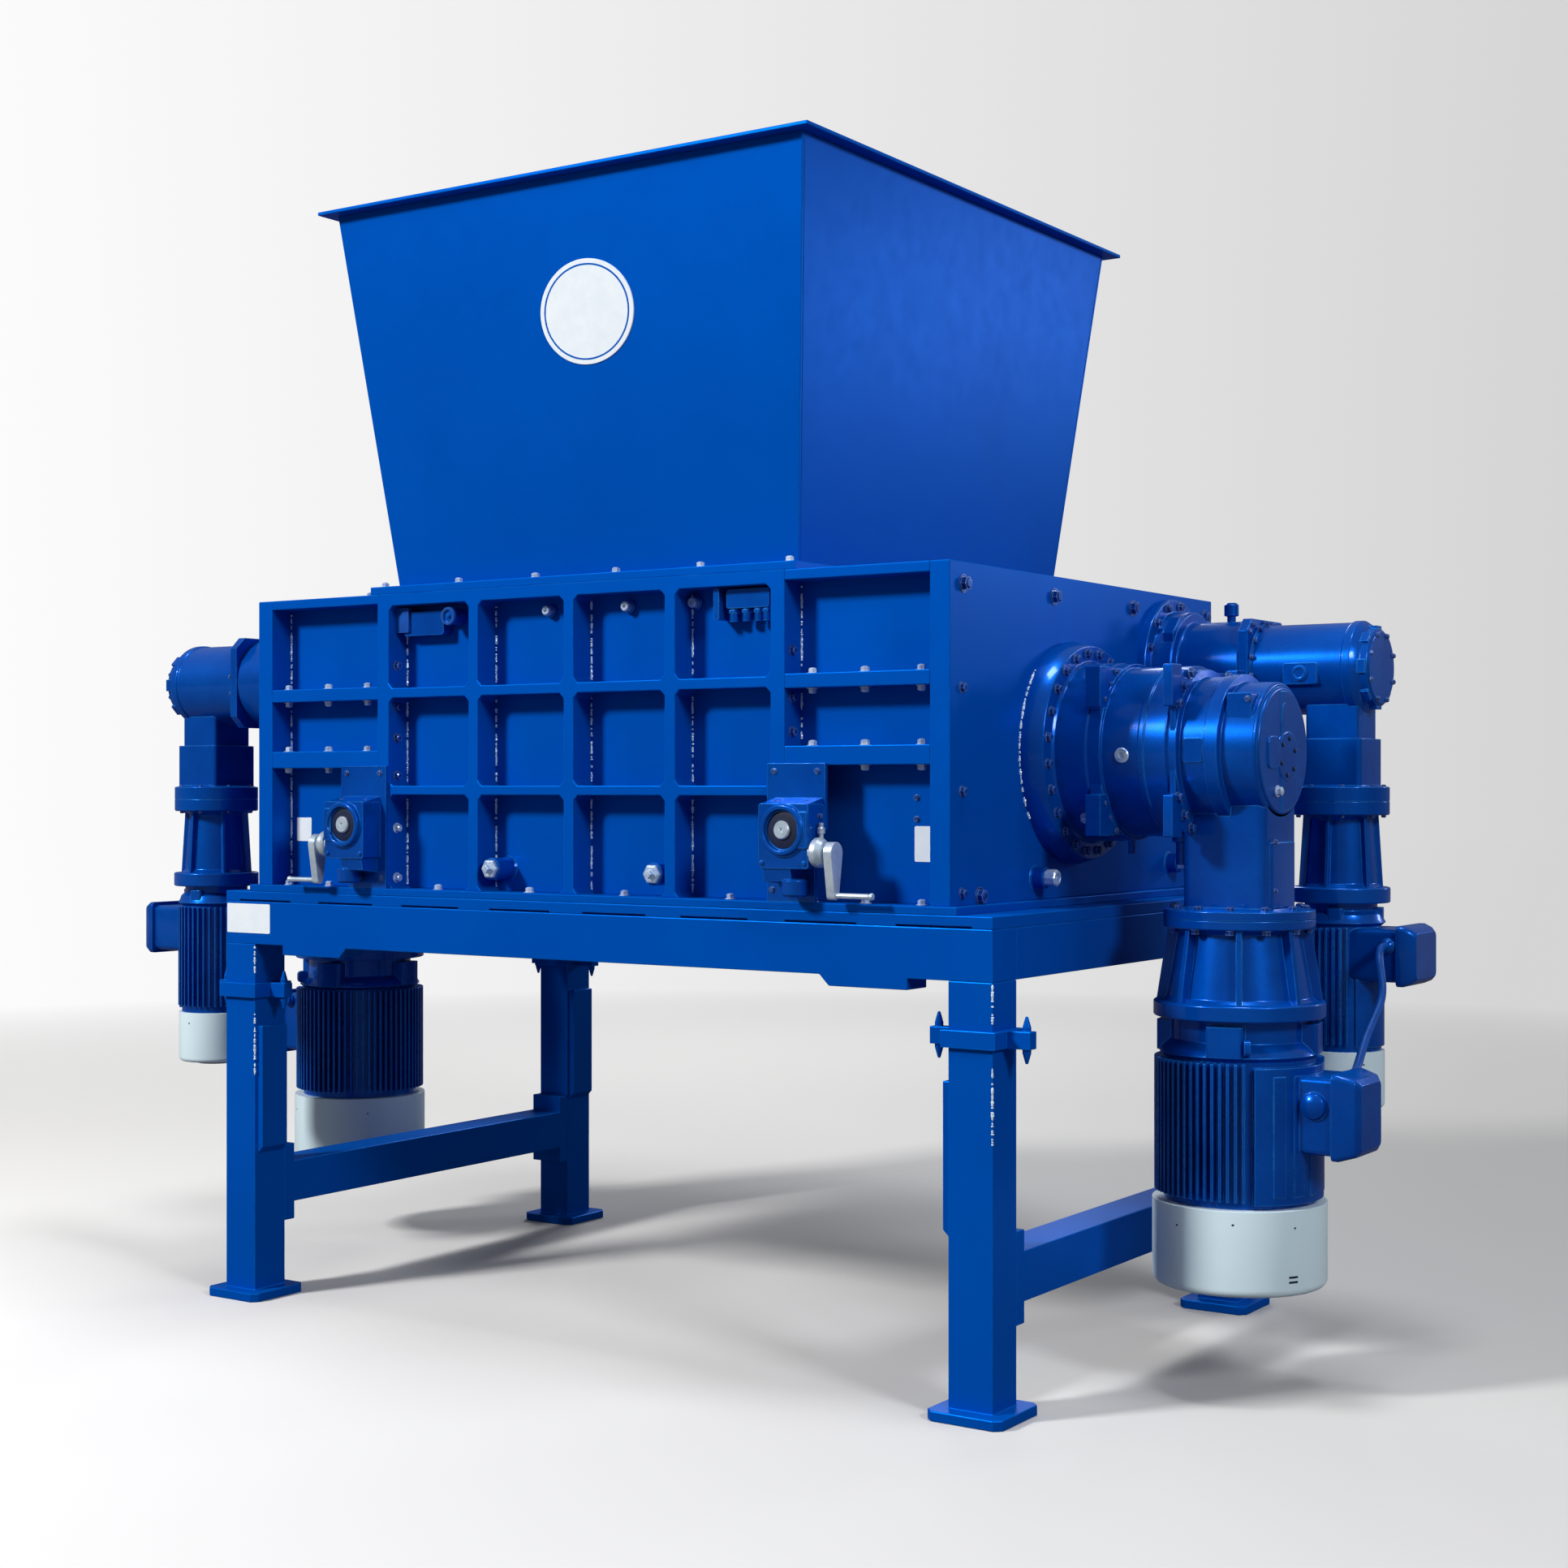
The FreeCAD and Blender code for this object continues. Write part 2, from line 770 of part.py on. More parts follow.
def large_drive():
    x = large_motor_x
    y = -inner_shaft_y
    lantern_piece = lantern(
        x, y, large_lantern_top, large_sides,
        (large_column_foot_radius, large_lantern_flange_thickness),
        large_lantern_neck_radius, large_lantern_skirt_radius, large_lantern_height,
        (large_lantern_foot_radius, large_lantern_foot_thickness),
        (large_rib_thickness, large_rib_reach, large_rib_count),
    )
    box = terminal_box(
        x, y, large_box_reach, large_box_lid_depth, large_box_width,
        large_motor_bottom + large_box_rise, large_box_height,
    )
    motor_piece = motor(
        x, y, large_motor_top, large_sides, large_shoulder_radius, large_shoulder_height,
        large_motor_radius, large_fin_depth, large_motor_height, large_fin_count,
        box + [gland(lower_gland_place(), along_y)],
    )
    cowl = fan_cowl(
        x, y, large_motor_bottom, large_sides, large_cowl_radius, large_cowl_height,
        large_inlet_radius, large_inlet_height,
    )
    return large_gearbox(), lantern_piece, motor_piece, cowl


def small_drive():
    x = small_motor_x
    y = outer_shaft_y
    lantern_piece = lantern(
        x, y, small_lantern_top, small_sides,
        (small_column_foot_radius, small_lantern_flange_thickness),
        small_lantern_neck_radius, small_lantern_skirt_radius, small_lantern_height,
        (small_lantern_foot_radius, small_lantern_foot_thickness),
        (small_rib_thickness, small_rib_reach, small_rib_count),
    )
    box = terminal_box(
        x, y, small_box_reach, small_box_lid_depth, small_box_width,
        small_motor_bottom + small_box_rise, small_box_height,
    )
    motor_piece = motor(
        x, y, small_motor_top, small_sides, small_shoulder_radius, small_shoulder_height,
        small_motor_radius, small_fin_depth, small_motor_height, small_fin_count,
        box + [gland(upper_gland_place(), along_y * -1)],
    )
    cowl = fan_cowl(
        x, y, small_motor_bottom, small_sides, small_cowl_radius, small_cowl_height,
        small_inlet_radius, small_inlet_height,
    )
    return small_gearbox(), lantern_piece, motor_piece, cowl


def motor_cable():
    start = upper_gland_place() - along_y * gland_length
    end = lower_gland_place() + along_y * gland_length
    stops = [start] + [Vector(*point) for point in cable_route] + [end]
    path = []
    here = start
    tightest = None
    for before, corner, after in zip(stops, stops[1:], stops[2:]):
        arriving = corner - before
        leaving = after - corner
        cut = arc_share * min(arriving.Length, leaving.Length)
        half_turn = arriving.getAngle(leaving) / 2
        arriving.normalize()
        leaving.normalize()
        radius = cut / math.tan(half_turn)
        inward = (leaving - arriving).normalize()
        first = corner - arriving * cut
        last = corner + leaving * cut
        middle = corner + inward * (radius / math.cos(half_turn) - radius)
        path.append(Part.LineSegment(here, first).toShape())
        path.append(Part.Arc(first, middle, last).toShape())
        here = last
        tightest = radius if tightest is None else min(tightest, radius)
    path.append(Part.LineSegment(here, end).toShape())
    wire = Part.Wire(path)
    print("cable length", round(wire.Length), "tightest bend", round(tightest))
    corners = ring_points(cable_radius, start, along_y, cable_sides)
    profile = Part.makePolygon(corners + [corners[0]])
    return Part.Wire(wire).makePipeShell([profile], True, False)


def crank_unit():
    face = -housing_half_width
    plate = block(
        bracket_inner, bracket_inner + crank_bracket_width, -bracket_front, face,
        housing_bottom, housing_bottom + crank_bracket_height,
    )
    box_start = bracket_inner + worm_box_inset
    box_bottom = housing_bottom + worm_box_rise
    box = block(box_start, worm_box_end, -worm_box_front, -bracket_front, box_bottom, box_bottom + worm_box_height)
    bore_start = Vector(box_start + worm_box_width / 2, -worm_box_front - worm_ring_length, box_bottom + worm_bore_rise)
    bore_depth = worm_ring_length + worm_box_depth / 2
    ring = disc(worm_ring_radius, worm_ring_length, bore_start, along_y, small_sides)
    bore = disc(worm_bore_radius, bore_depth, bore_start, along_y, small_sides)
    shaft = disc(worm_shaft_radius, bore_depth, bore_start, along_y, trim_sides)
    hub = disc(
        crank_hub_radius, crank_hub_length, Vector(worm_box_end, crank_axis_y, crank_axis_z),
        along_x, trim_sides,
    )
    socket_depth = crank_pin_depth + 2
    socket = rod(
        crank_pin_radius + crank_pin_clearance, socket_depth,
        Vector(crank_hub_end - socket_depth, crank_axis_y, crank_axis_z), along_x,
    )
    return joined([plate, box, ring, hub]).cut(bore).fuse(shaft).cut(socket).removeSplitter()


def crank_arm():
    start = crank_hub_end + crank_gap
    low = crank_axis_z - crank_throw
    end_radius = crank_arm_width / 2
    lean = math.asin((crank_boss_radius - end_radius) / crank_throw)
    points = []
    for centre, radius, first, last in (
        (crank_axis_z, crank_boss_radius, -lean, math.pi + lean),
        (low, end_radius, math.pi + lean, 2 * math.pi - lean),
    ):
        sides = trim_sides // 2
        for index in range(sides + 1):
            angle = first + (last - first) * index / sides
            points.append(Vector(start, crank_axis_y + radius * math.cos(angle), centre + radius * math.sin(angle)))
    return prism(points, along_x * crank_arm_thickness)


def crank():
    arm_out = crank_hub_end + crank_gap + crank_arm_thickness
    low = crank_axis_z - crank_throw
    pin_start = Vector(crank_hub_end - crank_pin_depth, crank_axis_y, crank_axis_z)
    grip = stepped(((crank_grip_radius, crank_grip_length), (crank_knob_radius, crank_knob_length)))
    return joined([
        crank_arm(),
        rod(crank_pin_radius, crank_pin_depth + crank_gap, pin_start, along_x),
        lathed(grip, Vector(arm_out, crank_axis_y, low), along_x, trim_sides),
    ])


def build():
    for name, side_x, side_y in (
        ("front_left", -1, -1), ("front_right", 1, -1), ("rear_left", -1, 1), ("rear_right", 1, 1),
    ):
        keep(name + "_leg", leg(side_x, side_y))
    keep("leg_collars", *[collar(sx, sy) for sx in (-1, 1) for sy in (-1, 1)])
    keep("front_beam", front_channel())
    keep("rear_beam", turned(front_channel(), 180))
    keep("side_beams", side_beam(), turned(side_beam(), 180))
    keep("crossbeams", crossbeam(), turned(crossbeam(), 180))
    keep("bed_plate", bed())

    keep("housing_base", housing_base())
    keep("front_panel", panel())
    keep("rear_panel", turned(panel(), 180))
    keep("front_ribs", rib_grid())
    keep("rear_ribs", turned(rib_grid(), 180))
    keep("bay_shelves", *bay_shelves())
    keep("right_end_plate", end_plate())
    keep("left_end_plate", turned(end_plate(), 180))
    keep("partitions", partition(), turned(partition(), 180))
    keep("bay_covers", bay_cover(), turned(bay_cover(), 180))

    inner = (inner_shaft_y, inner_shaft_z, inner_cutter_radius)
    outer = (outer_shaft_y, outer_shaft_z, outer_cutter_radius)
    for index, (name, side, (y, z, radius)) in enumerate((
        ("front_inner", -1, inner), ("rear_inner", 1, inner), ("rear_outer", 1, outer), ("front_outer", -1, outer),
    )):
        keep(name + "_rotor", rotor(side * y, z, radius, cutter_start_angle * index, index % 2, -side))

    keep("hopper_flange", hopper_ring(
        hopper_foot_x + hopper_flange_end_width, hopper_foot_y + hopper_flange_side_width,
        hopper_foot_x - hopper_wall, hopper_foot_y - hopper_wall, housing_top, hopper_foot,
    ))
    for name, wall in zip(("front", "rear", "left", "right"), hopper_walls()):
        keep("hopper_" + name + "_wall", wall)
    keep("hopper_lip", hopper_ring(
        hopper_mouth_x + hopper_lip_width, hopper_mouth_y + hopper_lip_width,
        hopper_mouth_x - hopper_wall, hopper_mouth_y - hopper_wall,
        hopper_top, hopper_top + hopper_lip_thickness,
    ))

    for size, (gearbox, lantern_piece, motor_piece, cowl) in (("large", large_drive()), ("small", small_drive())):
        for side, degrees in (("right", 0), ("left", 180)):
            keep(side + "_" + size + "_gearbox", turned(gearbox, degrees))
            keep(side + "_" + size + "_motor", turned(motor_piece, degrees))
        keep(size + "_lanterns", lantern_piece, turned(lantern_piece, 180))
        keep(size + "_fan_cowls", cowl, turned(cowl, 180))
    keep("motor_cable", motor_cable())

    keep("right_crank_unit", crank_unit())
    keep("left_crank_unit", flipped(crank_unit()))
    keep("right_crank", crank())
    keep("left_crank", flipped(crank()))


build()
os.makedirs("parts", exist_ok=True)
facets = 0
for name, shape in pieces.items():
    for solid in shape.Solids:
        if not solid.isValid():
            print("not valid:", name)
    shape.exportStep("parts/" + name + ".step")
    facets += len(shape.tessellate(1.0)[1])
print(len(pieces), "pieces,", facets, "facets at 1 mm")
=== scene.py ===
import bmesh
import bpy
import json
import math
from mathutils import Matrix, Vector


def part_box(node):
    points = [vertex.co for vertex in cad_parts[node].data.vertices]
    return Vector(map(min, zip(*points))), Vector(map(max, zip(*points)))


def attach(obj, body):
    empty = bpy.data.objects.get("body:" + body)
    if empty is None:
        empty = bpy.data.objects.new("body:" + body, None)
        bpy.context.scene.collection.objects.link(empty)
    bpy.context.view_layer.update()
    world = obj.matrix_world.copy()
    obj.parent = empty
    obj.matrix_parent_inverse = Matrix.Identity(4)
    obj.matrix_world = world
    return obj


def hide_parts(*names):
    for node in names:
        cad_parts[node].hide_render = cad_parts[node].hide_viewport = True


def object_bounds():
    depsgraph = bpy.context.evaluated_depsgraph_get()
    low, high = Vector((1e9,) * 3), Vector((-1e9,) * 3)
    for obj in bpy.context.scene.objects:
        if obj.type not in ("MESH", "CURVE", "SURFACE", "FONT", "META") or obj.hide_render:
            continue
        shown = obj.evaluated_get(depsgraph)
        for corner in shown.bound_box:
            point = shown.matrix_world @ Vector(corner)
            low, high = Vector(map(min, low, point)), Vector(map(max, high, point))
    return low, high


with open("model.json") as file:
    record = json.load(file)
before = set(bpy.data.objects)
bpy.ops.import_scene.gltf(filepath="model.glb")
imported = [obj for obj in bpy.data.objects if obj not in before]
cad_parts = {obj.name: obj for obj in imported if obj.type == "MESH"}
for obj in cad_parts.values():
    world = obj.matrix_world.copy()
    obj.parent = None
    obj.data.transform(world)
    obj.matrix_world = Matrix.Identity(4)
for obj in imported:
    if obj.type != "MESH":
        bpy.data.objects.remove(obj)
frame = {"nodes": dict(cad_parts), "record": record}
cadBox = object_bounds()
print("frame loaded:", len(frame["nodes"]), "nodes")

photoSize = 1932  # pixels along each side
halfTurn = math.pi

# camera and stage
cameraSet = {
    "place": (3.933, -5.610, 1.500),
    "turn": 33.82,  # degrees to the left of straight back
    "lens": 53.65,
    "horizon": 969.9,  # photo row of the eye level
}


def makeCamera(values):
    data = bpy.data.cameras.new("photoCamera")
    data.sensor_width = 36.0
    data.lens = values["lens"]
    data.shift_y = (values["horizon"] - photoSize / 2) / photoSize
    data.clip_end = 200.0
    camera = bpy.data.objects.new("photoCamera", data)
    camera.location = values["place"]
    camera.rotation_euler = (math.radians(90), 0, math.radians(values["turn"]))
    bpy.context.scene.collection.objects.link(camera)
    bpy.context.scene.camera = camera


# node helpers
def addNode(tree, kind, **settings):
    node = tree.nodes.new(kind)
    for key, value in settings.items():
        setattr(node, key, value)
    return node


def addNoise(tree, coordinates, scale, detail=3.0, roughness=0.5):
    node = tree.nodes.new("ShaderNodeTexNoise")
    node.inputs["Detail"].default_value = detail
    node.inputs["Roughness"].default_value = roughness
    tree.links.new(coordinates, node.inputs["Vector"])
    if isinstance(scale, (int, float)):
        node.inputs["Scale"].default_value = scale
    else:
        tree.links.new(scale, node.inputs["Scale"])
    return node.outputs["Fac"]


def addRange(tree, value, low, high, toLow=0.0, toHigh=1.0):
    node = tree.nodes.new("ShaderNodeMapRange")
    tree.links.new(value, node.inputs["Value"])
    for key, number in (("From Min", low), ("From Max", high), ("To Min", toLow), ("To Max", toHigh)):
        node.inputs[key].default_value = number
    return node.outputs["Result"]


def addMath(tree, operation, first, second):
    # products stay between 0 and 1, because all of them are masks
    node = addNode(tree, "ShaderNodeMath", operation=operation, use_clamp=operation == "MULTIPLY")
    for socket, value in zip(node.inputs, (first, second)):
        if isinstance(value, (int, float)):
            socket.default_value = value
        else:
            tree.links.new(value, socket)
    return node.outputs["Value"]


def addMix(tree, factor, first, second):
    node = addNode(tree, "ShaderNodeMix", data_type="RGBA")
    colours = [socket for socket in node.inputs if socket.type == "RGBA"]
    for socket, value in ((node.inputs["Factor"], factor), (colours[0], first), (colours[1], second)):
        if isinstance(value, (int, float)):
            socket.default_value = value
        elif isinstance(value, tuple):
            socket.default_value = (*value, 1.0)
        else:
            tree.links.new(value, socket)
    return next(socket for socket in node.outputs if socket.type == "RGBA")


lightSet = {
    "key": {"place": (-4.8, -9.0, 7.4), "size": 1.6, "power": 1260.0, "colour": (1.0, 0.98, 0.95)},
    "side": {"place": (8.0, -3.5, 5.2), "size": 1.6, "power": 290.0, "colour": (0.95, 0.97, 1.0)},
    "top": {"place": (2.0, -0.6, 8.5), "size": 1.6, "power": 230.0, "colour": (1.0, 1.0, 1.0)},
    "rear": {"place": (-4.0, 7.5, 5.0), "size": 3.0, "power": 240.0, "colour": (1.0, 1.0, 1.0)},
    "glow": {"place": (6.2, 9.0, 4.0), "size": 1.5, "power": 120.0, "colour": (0.95, 0.98, 1.0)},
    "aim": (0.0, 0.0, 1.4),
}


def makeLights(values):
    for name in ("key", "side", "top", "rear", "glow"):
        lamp = values[name]
        data = bpy.data.lights.new(name + "Light", "AREA")
        data.shape = "SQUARE"
        data.size = lamp["size"]
        data.energy = lamp["power"]
        data.color = lamp["colour"]
        light = bpy.data.objects.new(name + "Light", data)
        light.location = lamp["place"]
        aim = Vector(values["aim"]) - light.location
        light.rotation_euler = aim.to_track_quat("-Z", "Y").to_euler()
        bpy.context.scene.collection.objects.link(light)


stageSet = {
    "radius": 60.0,
    "floorColour": (0.73, 0.73, 0.73),
    "middleTone": 0.82,  # the tone at which the floor has just that colour
    "floorDrop": 0.0005,  # keeps the floor clear of the foot plates
    "bounceColour": (0.15, 0.15, 0.16),  # what the floor throws back on the machine
    "skyLight": 0.15,
    "fadeStart": 4.5, "fadeEnd": 10.5,  # metres out, where the floor runs into the backdrop
    "leftTone": 0.97, "rightTone": 0.66,  # the backdrop greys from left to right: painted shade on the floor and backdrop, darker towards the right
    "toneTurn": 0.32, "toneNear": 5.3,
    # what paint and metal mirror: the same backdrop, dimmer
    "gleamLow": 0.10, "gleamHigh": 0.36, "gleamRise": (-0.05, 0.65),
    "gleamStart": 7.0, "gleamEnd": 15.0, "farGleam": 0.35,
}


def addGrey(tree, value):
    node = tree.nodes.new("ShaderNodeCombineColor")
    for label in ("Red", "Green", "Blue"):
        tree.links.new(value, node.inputs[label])
    return node.outputs["Color"]


# painted shade: a tone that darkens towards the right of the view, for floor and backdrop
def addTone(tree, values, near):
    place = tree.nodes.new("ShaderNodeTexCoord").outputs["Object"]
    across = addNode(tree, "ShaderNodeVectorMath", operation="DOT_PRODUCT")
    turn = math.radians(cameraSet["turn"])
    across.inputs[1].default_value = (math.cos(turn), math.sin(turn), 0.0)
    tree.links.new(place, across.inputs[0])
    distance = addNode(tree, "ShaderNodeVectorMath", operation="LENGTH")
    tree.links.new(place, distance.inputs[0])
    distance = distance.outputs["Value"]
    share = addMath(tree, "DIVIDE", across.outputs["Value"], addMath(tree, "ADD", distance, near))
    turned = values["toneTurn"]
    tone = addRange(tree, share, -turned, turned, values["leftTone"], values["rightTone"])
    return tone, distance


def addSeenMask(tree):
    path = tree.nodes.new("ShaderNodeLightPath")
    camera, glass = path.outputs["Is Camera Ray"], path.outputs["Is Transmission Ray"]
    return addMath(tree, "MAXIMUM", camera, glass), path.outputs["Is Glossy Ray"]


def makeFloor(values):
    bm = bmesh.new()
    bmesh.ops.create_circle(bm, cap_ends=True, segments=96, radius=values["radius"])
    mesh = bpy.data.meshes.new("floor")
    bm.to_mesh(mesh)
    bm.free()
    floor = bpy.data.objects.new("floor", mesh)
    floor.location.z = min(0.0, cadBox[0].z) - values["floorDrop"]
    bpy.context.scene.collection.objects.link(floor)
    material = bpy.data.materials.new("paleFloor")
    material.use_nodes = True
    tree = material.node_tree
    shader = tree.nodes["Principled BSDF"]
    shader.inputs["Roughness"].default_value = 0.9
    shader.inputs["Specular IOR Level"].default_value = 0.0
    seen, gleam = addSeenMask(tree)
    tone, distance = addTone(tree, values, values["toneNear"])
    tone = addGrey(tree, tone)
    paint = addNode(tree, "ShaderNodeMix", data_type="RGBA", blend_type="MULTIPLY")
    paint.inputs["Factor"].default_value = 1.0
    sockets = [socket for socket in paint.inputs if socket.type == "RGBA"]
    sockets[0].default_value = (*(part / values["middleTone"] for part in values["floorColour"]), 1.0)
    tree.links.new(tone, sockets[1])
    painted = next(socket for socket in paint.outputs if socket.type == "RGBA")
    tree.links.new(addMix(tree, seen, values["bounceColour"], painted), shader.inputs["Base Color"])
    fade = addRange(tree, distance, values["fadeStart"], values["fadeEnd"])
    far = addRange(tree, distance, values["gleamStart"], values["gleamEnd"])
    seenFade, gleamFade = addMath(tree, "MULTIPLY", fade, seen), addMath(tree, "MULTIPLY", far, gleam)
    shown = addMath(tree, "ADD", seenFade, gleamFade)
    dim = addRange(tree, gleam, 0.0, 1.0, 1.0, values["farGleam"])
    backdrop = tree.nodes.new("ShaderNodeEmission")
    tree.links.new(tone, backdrop.inputs["Color"])
    tree.links.new(dim, backdrop.inputs["Strength"])
    mixed = tree.nodes.new("ShaderNodeMixShader")
    tree.links.new(shown, mixed.inputs["Fac"])
    tree.links.new(shader.outputs["BSDF"], mixed.inputs[1])
    tree.links.new(backdrop.outputs["Emission"], mixed.inputs[2])
    tree.links.new(mixed.outputs["Shader"], tree.nodes["Material Output"].inputs["Surface"])
    mesh.materials.append(material)


def makeSky(values):
    world = bpy.data.worlds.new("studio")
    bpy.context.scene.world = world
    world.use_nodes = True
    tree = world.node_tree
    tree.nodes.clear()
    seen, gleam = addSeenMask(tree)
    height = tree.nodes.new("ShaderNodeSeparateXYZ")
    tree.links.new(tree.nodes.new("ShaderNodeTexCoord").outputs["Object"], height.inputs["Vector"])
    low, high = values["gleamRise"]
    shine = addRange(tree, height.outputs["Z"], low, high, values["gleamLow"], values["gleamHigh"])
    light = addMix(tree, gleam, (values["skyLight"],) * 3, addGrey(tree, shine))
    sky = tree.nodes.new("ShaderNodeBackground")
    tone = addGrey(tree, addTone(tree, values, 0.0)[0])
    tree.links.new(addMix(tree, seen, light, tone), sky.inputs["Color"])
    tree.links.new(sky.outputs["Background"], tree.nodes.new("ShaderNodeOutputWorld").inputs["Surface"])


makeCamera(cameraSet)
makeLights(lightSet)
makeFloor(stageSet)
makeSky(stageSet)
bpy.context.scene.view_settings.view_transform = "Standard"
print("camera, lights and floor made")


# shader groups
def newShaderGroup(name, inputs, outputs):
    group = bpy.data.node_groups.new(name, "ShaderNodeTree")
    for label, kind, value in inputs:
        socket = group.interface.new_socket(label, in_out="INPUT", socket_type=kind)
        socket.default_value = value
    for label, kind in outputs:
        group.interface.new_socket(label, in_out="OUTPUT", socket_type=kind)
    return group, group.nodes.new("NodeGroupInput"), group.nodes.new("NodeGroupOutput")


# edge mask: sharp edges turn lighter, partly worn paint and partly a painted highlight for light caught along the edges
def makeEdgeWearAndHighlight():
    group, ins, outs = newShaderGroup("edgeWearAndHighlight", [
        ("Color", "NodeSocketColor", (0.0, 0.05, 0.3, 1.0)),
        ("Worn Color", "NodeSocketColor", (0.2, 0.35, 0.7, 1.0)),
        ("Amount", "NodeSocketFloat", 0.5),
        ("Patch Scale", "NodeSocketFloat", 12.0),
        ("Edge Width", "NodeSocketFloat", 0.004),
    ], [("Color", "NodeSocketColor"), ("Mask", "NodeSocketFloat")])
    place = group.nodes.new("ShaderNodeTexCoord").outputs["Object"]
    rounded = group.nodes.new("ShaderNodeBevel")
    rounded.samples = 4
    group.links.new(ins.outputs["Edge Width"], rounded.inputs["Radius"])
    compare = addNode(group, "ShaderNodeVectorMath", operation="DOT_PRODUCT")
    group.links.new(rounded.outputs["Normal"], compare.inputs[0])
    group.links.new(group.nodes.new("ShaderNodeNewGeometry").outputs["Normal"], compare.inputs[1])
    sharp = addRange(group, compare.outputs["Value"], 0.985, 0.86)
    patches = addRange(group, addNoise(group, place, ins.outputs["Patch Scale"], 4.0, 0.65), 0.32, 0.62, 0.25, 1.0)
    mask = addMath(group, "MULTIPLY", addMath(group, "MULTIPLY", sharp, patches), ins.outputs["Amount"])
    colour = addMix(group, mask, ins.outputs["Color"], ins.outputs["Worn Color"])
    group.links.new(colour, outs.inputs["Color"])
    group.links.new(mask, outs.inputs["Mask"])
    return group


def makePaintGrain():
    group, ins, outs = newShaderGroup("paintGrain", [
        ("Color", "NodeSocketColor", (0.0, 0.05, 0.3, 1.0)),
        ("Deep Color", "NodeSocketColor", (0.0, 0.03, 0.2, 1.0)),
        ("Cloud Scale", "NodeSocketFloat", 2.0),
        ("Grain Scale", "NodeSocketFloat", 260.0),
        ("Roughness", "NodeSocketFloat", 0.35),
    ], [("Color", "NodeSocketColor"), ("Roughness", "NodeSocketFloat"), ("Height", "NodeSocketFloat")])
    place = group.nodes.new("ShaderNodeTexCoord").outputs["Object"]
    clouds = addRange(group, addNoise(group, place, ins.outputs["Cloud Scale"], 5.0, 0.6), 0.35, 0.68)
    grain = addNoise(group, place, ins.outputs["Grain Scale"], 3.0, 0.6)
    smears = addRange(group, addNoise(group, place, 18.0, 6.0, 0.7), 0.3, 0.75, -0.02, 0.03)
    group.links.new(addMix(group, clouds, ins.outputs["Deep Color"], ins.outputs["Color"]), outs.inputs["Color"])
    group.links.new(addMath(group, "ADD", ins.outputs["Roughness"], smears), outs.inputs["Roughness"])
    group.links.new(grain, outs.inputs["Height"])
    return group


# upward faces turn a lighter grey-blue: partly dust, partly a painted sheen for the bright ceiling mirrored on top
# faces
def makeDustAndTopSheen():
    group, ins, outs = newShaderGroup("dustAndTopSheen", [
        ("Color", "NodeSocketColor", (0.0, 0.05, 0.3, 1.0)),
        ("Dust Color", "NodeSocketColor", (0.30, 0.36, 0.50, 1.0)),
        ("Amount", "NodeSocketFloat", 0.5),
    ], [("Color", "NodeSocketColor")])
    place = group.nodes.new("ShaderNodeTexCoord").outputs["Object"]
    split = group.nodes.new("ShaderNodeSeparateXYZ")
    group.links.new(group.nodes.new("ShaderNodeNewGeometry").outputs["Normal"], split.inputs["Vector"])
    upward = addRange(group, split.outputs["Z"], 0.72, 1.0)
    patches = addRange(group, addNoise(group, place, 9.0, 6.0, 0.6), 0.25, 0.8, 0.45, 1.0)
    mask = addMath(group, "MULTIPLY", addMath(group, "MULTIPLY", upward, patches), ins.outputs["Amount"])
    group.links.new(addMix(group, mask, ins.outputs["Color"], ins.outputs["Dust Color"]), outs.inputs["Color"])
    return group


edgeWearAndHighlight = makeEdgeWearAndHighlight()
paintGrain = makePaintGrain()
dustAndTopSheen = makeDustAndTopSheen()


# materials
def placeGroup(tree, group, **values):
    node = tree.nodes.new("ShaderNodeGroup")
    node.node_tree = group
    for label, value in values.items():
        socket = node.inputs[label.replace("_", " ")]
        if isinstance(value, tuple):
            socket.default_value = (*value, 1.0)
        elif isinstance(value, (int, float)):
            socket.default_value = value
        else:
            tree.links.new(value, socket)
    return node


# what a finish has where its own row doesn't say
plainFinish = {"grain": 400.0, "bump": 0.2, "wearAndHighlight": 0.4, "dustAndSheenAmount": 0.2, "clouds": 10.0,
               "metal": 0.0, "level": 0.5, "coat": 0.0, "coatRoughness": 0.10, "relief": 0.0006}
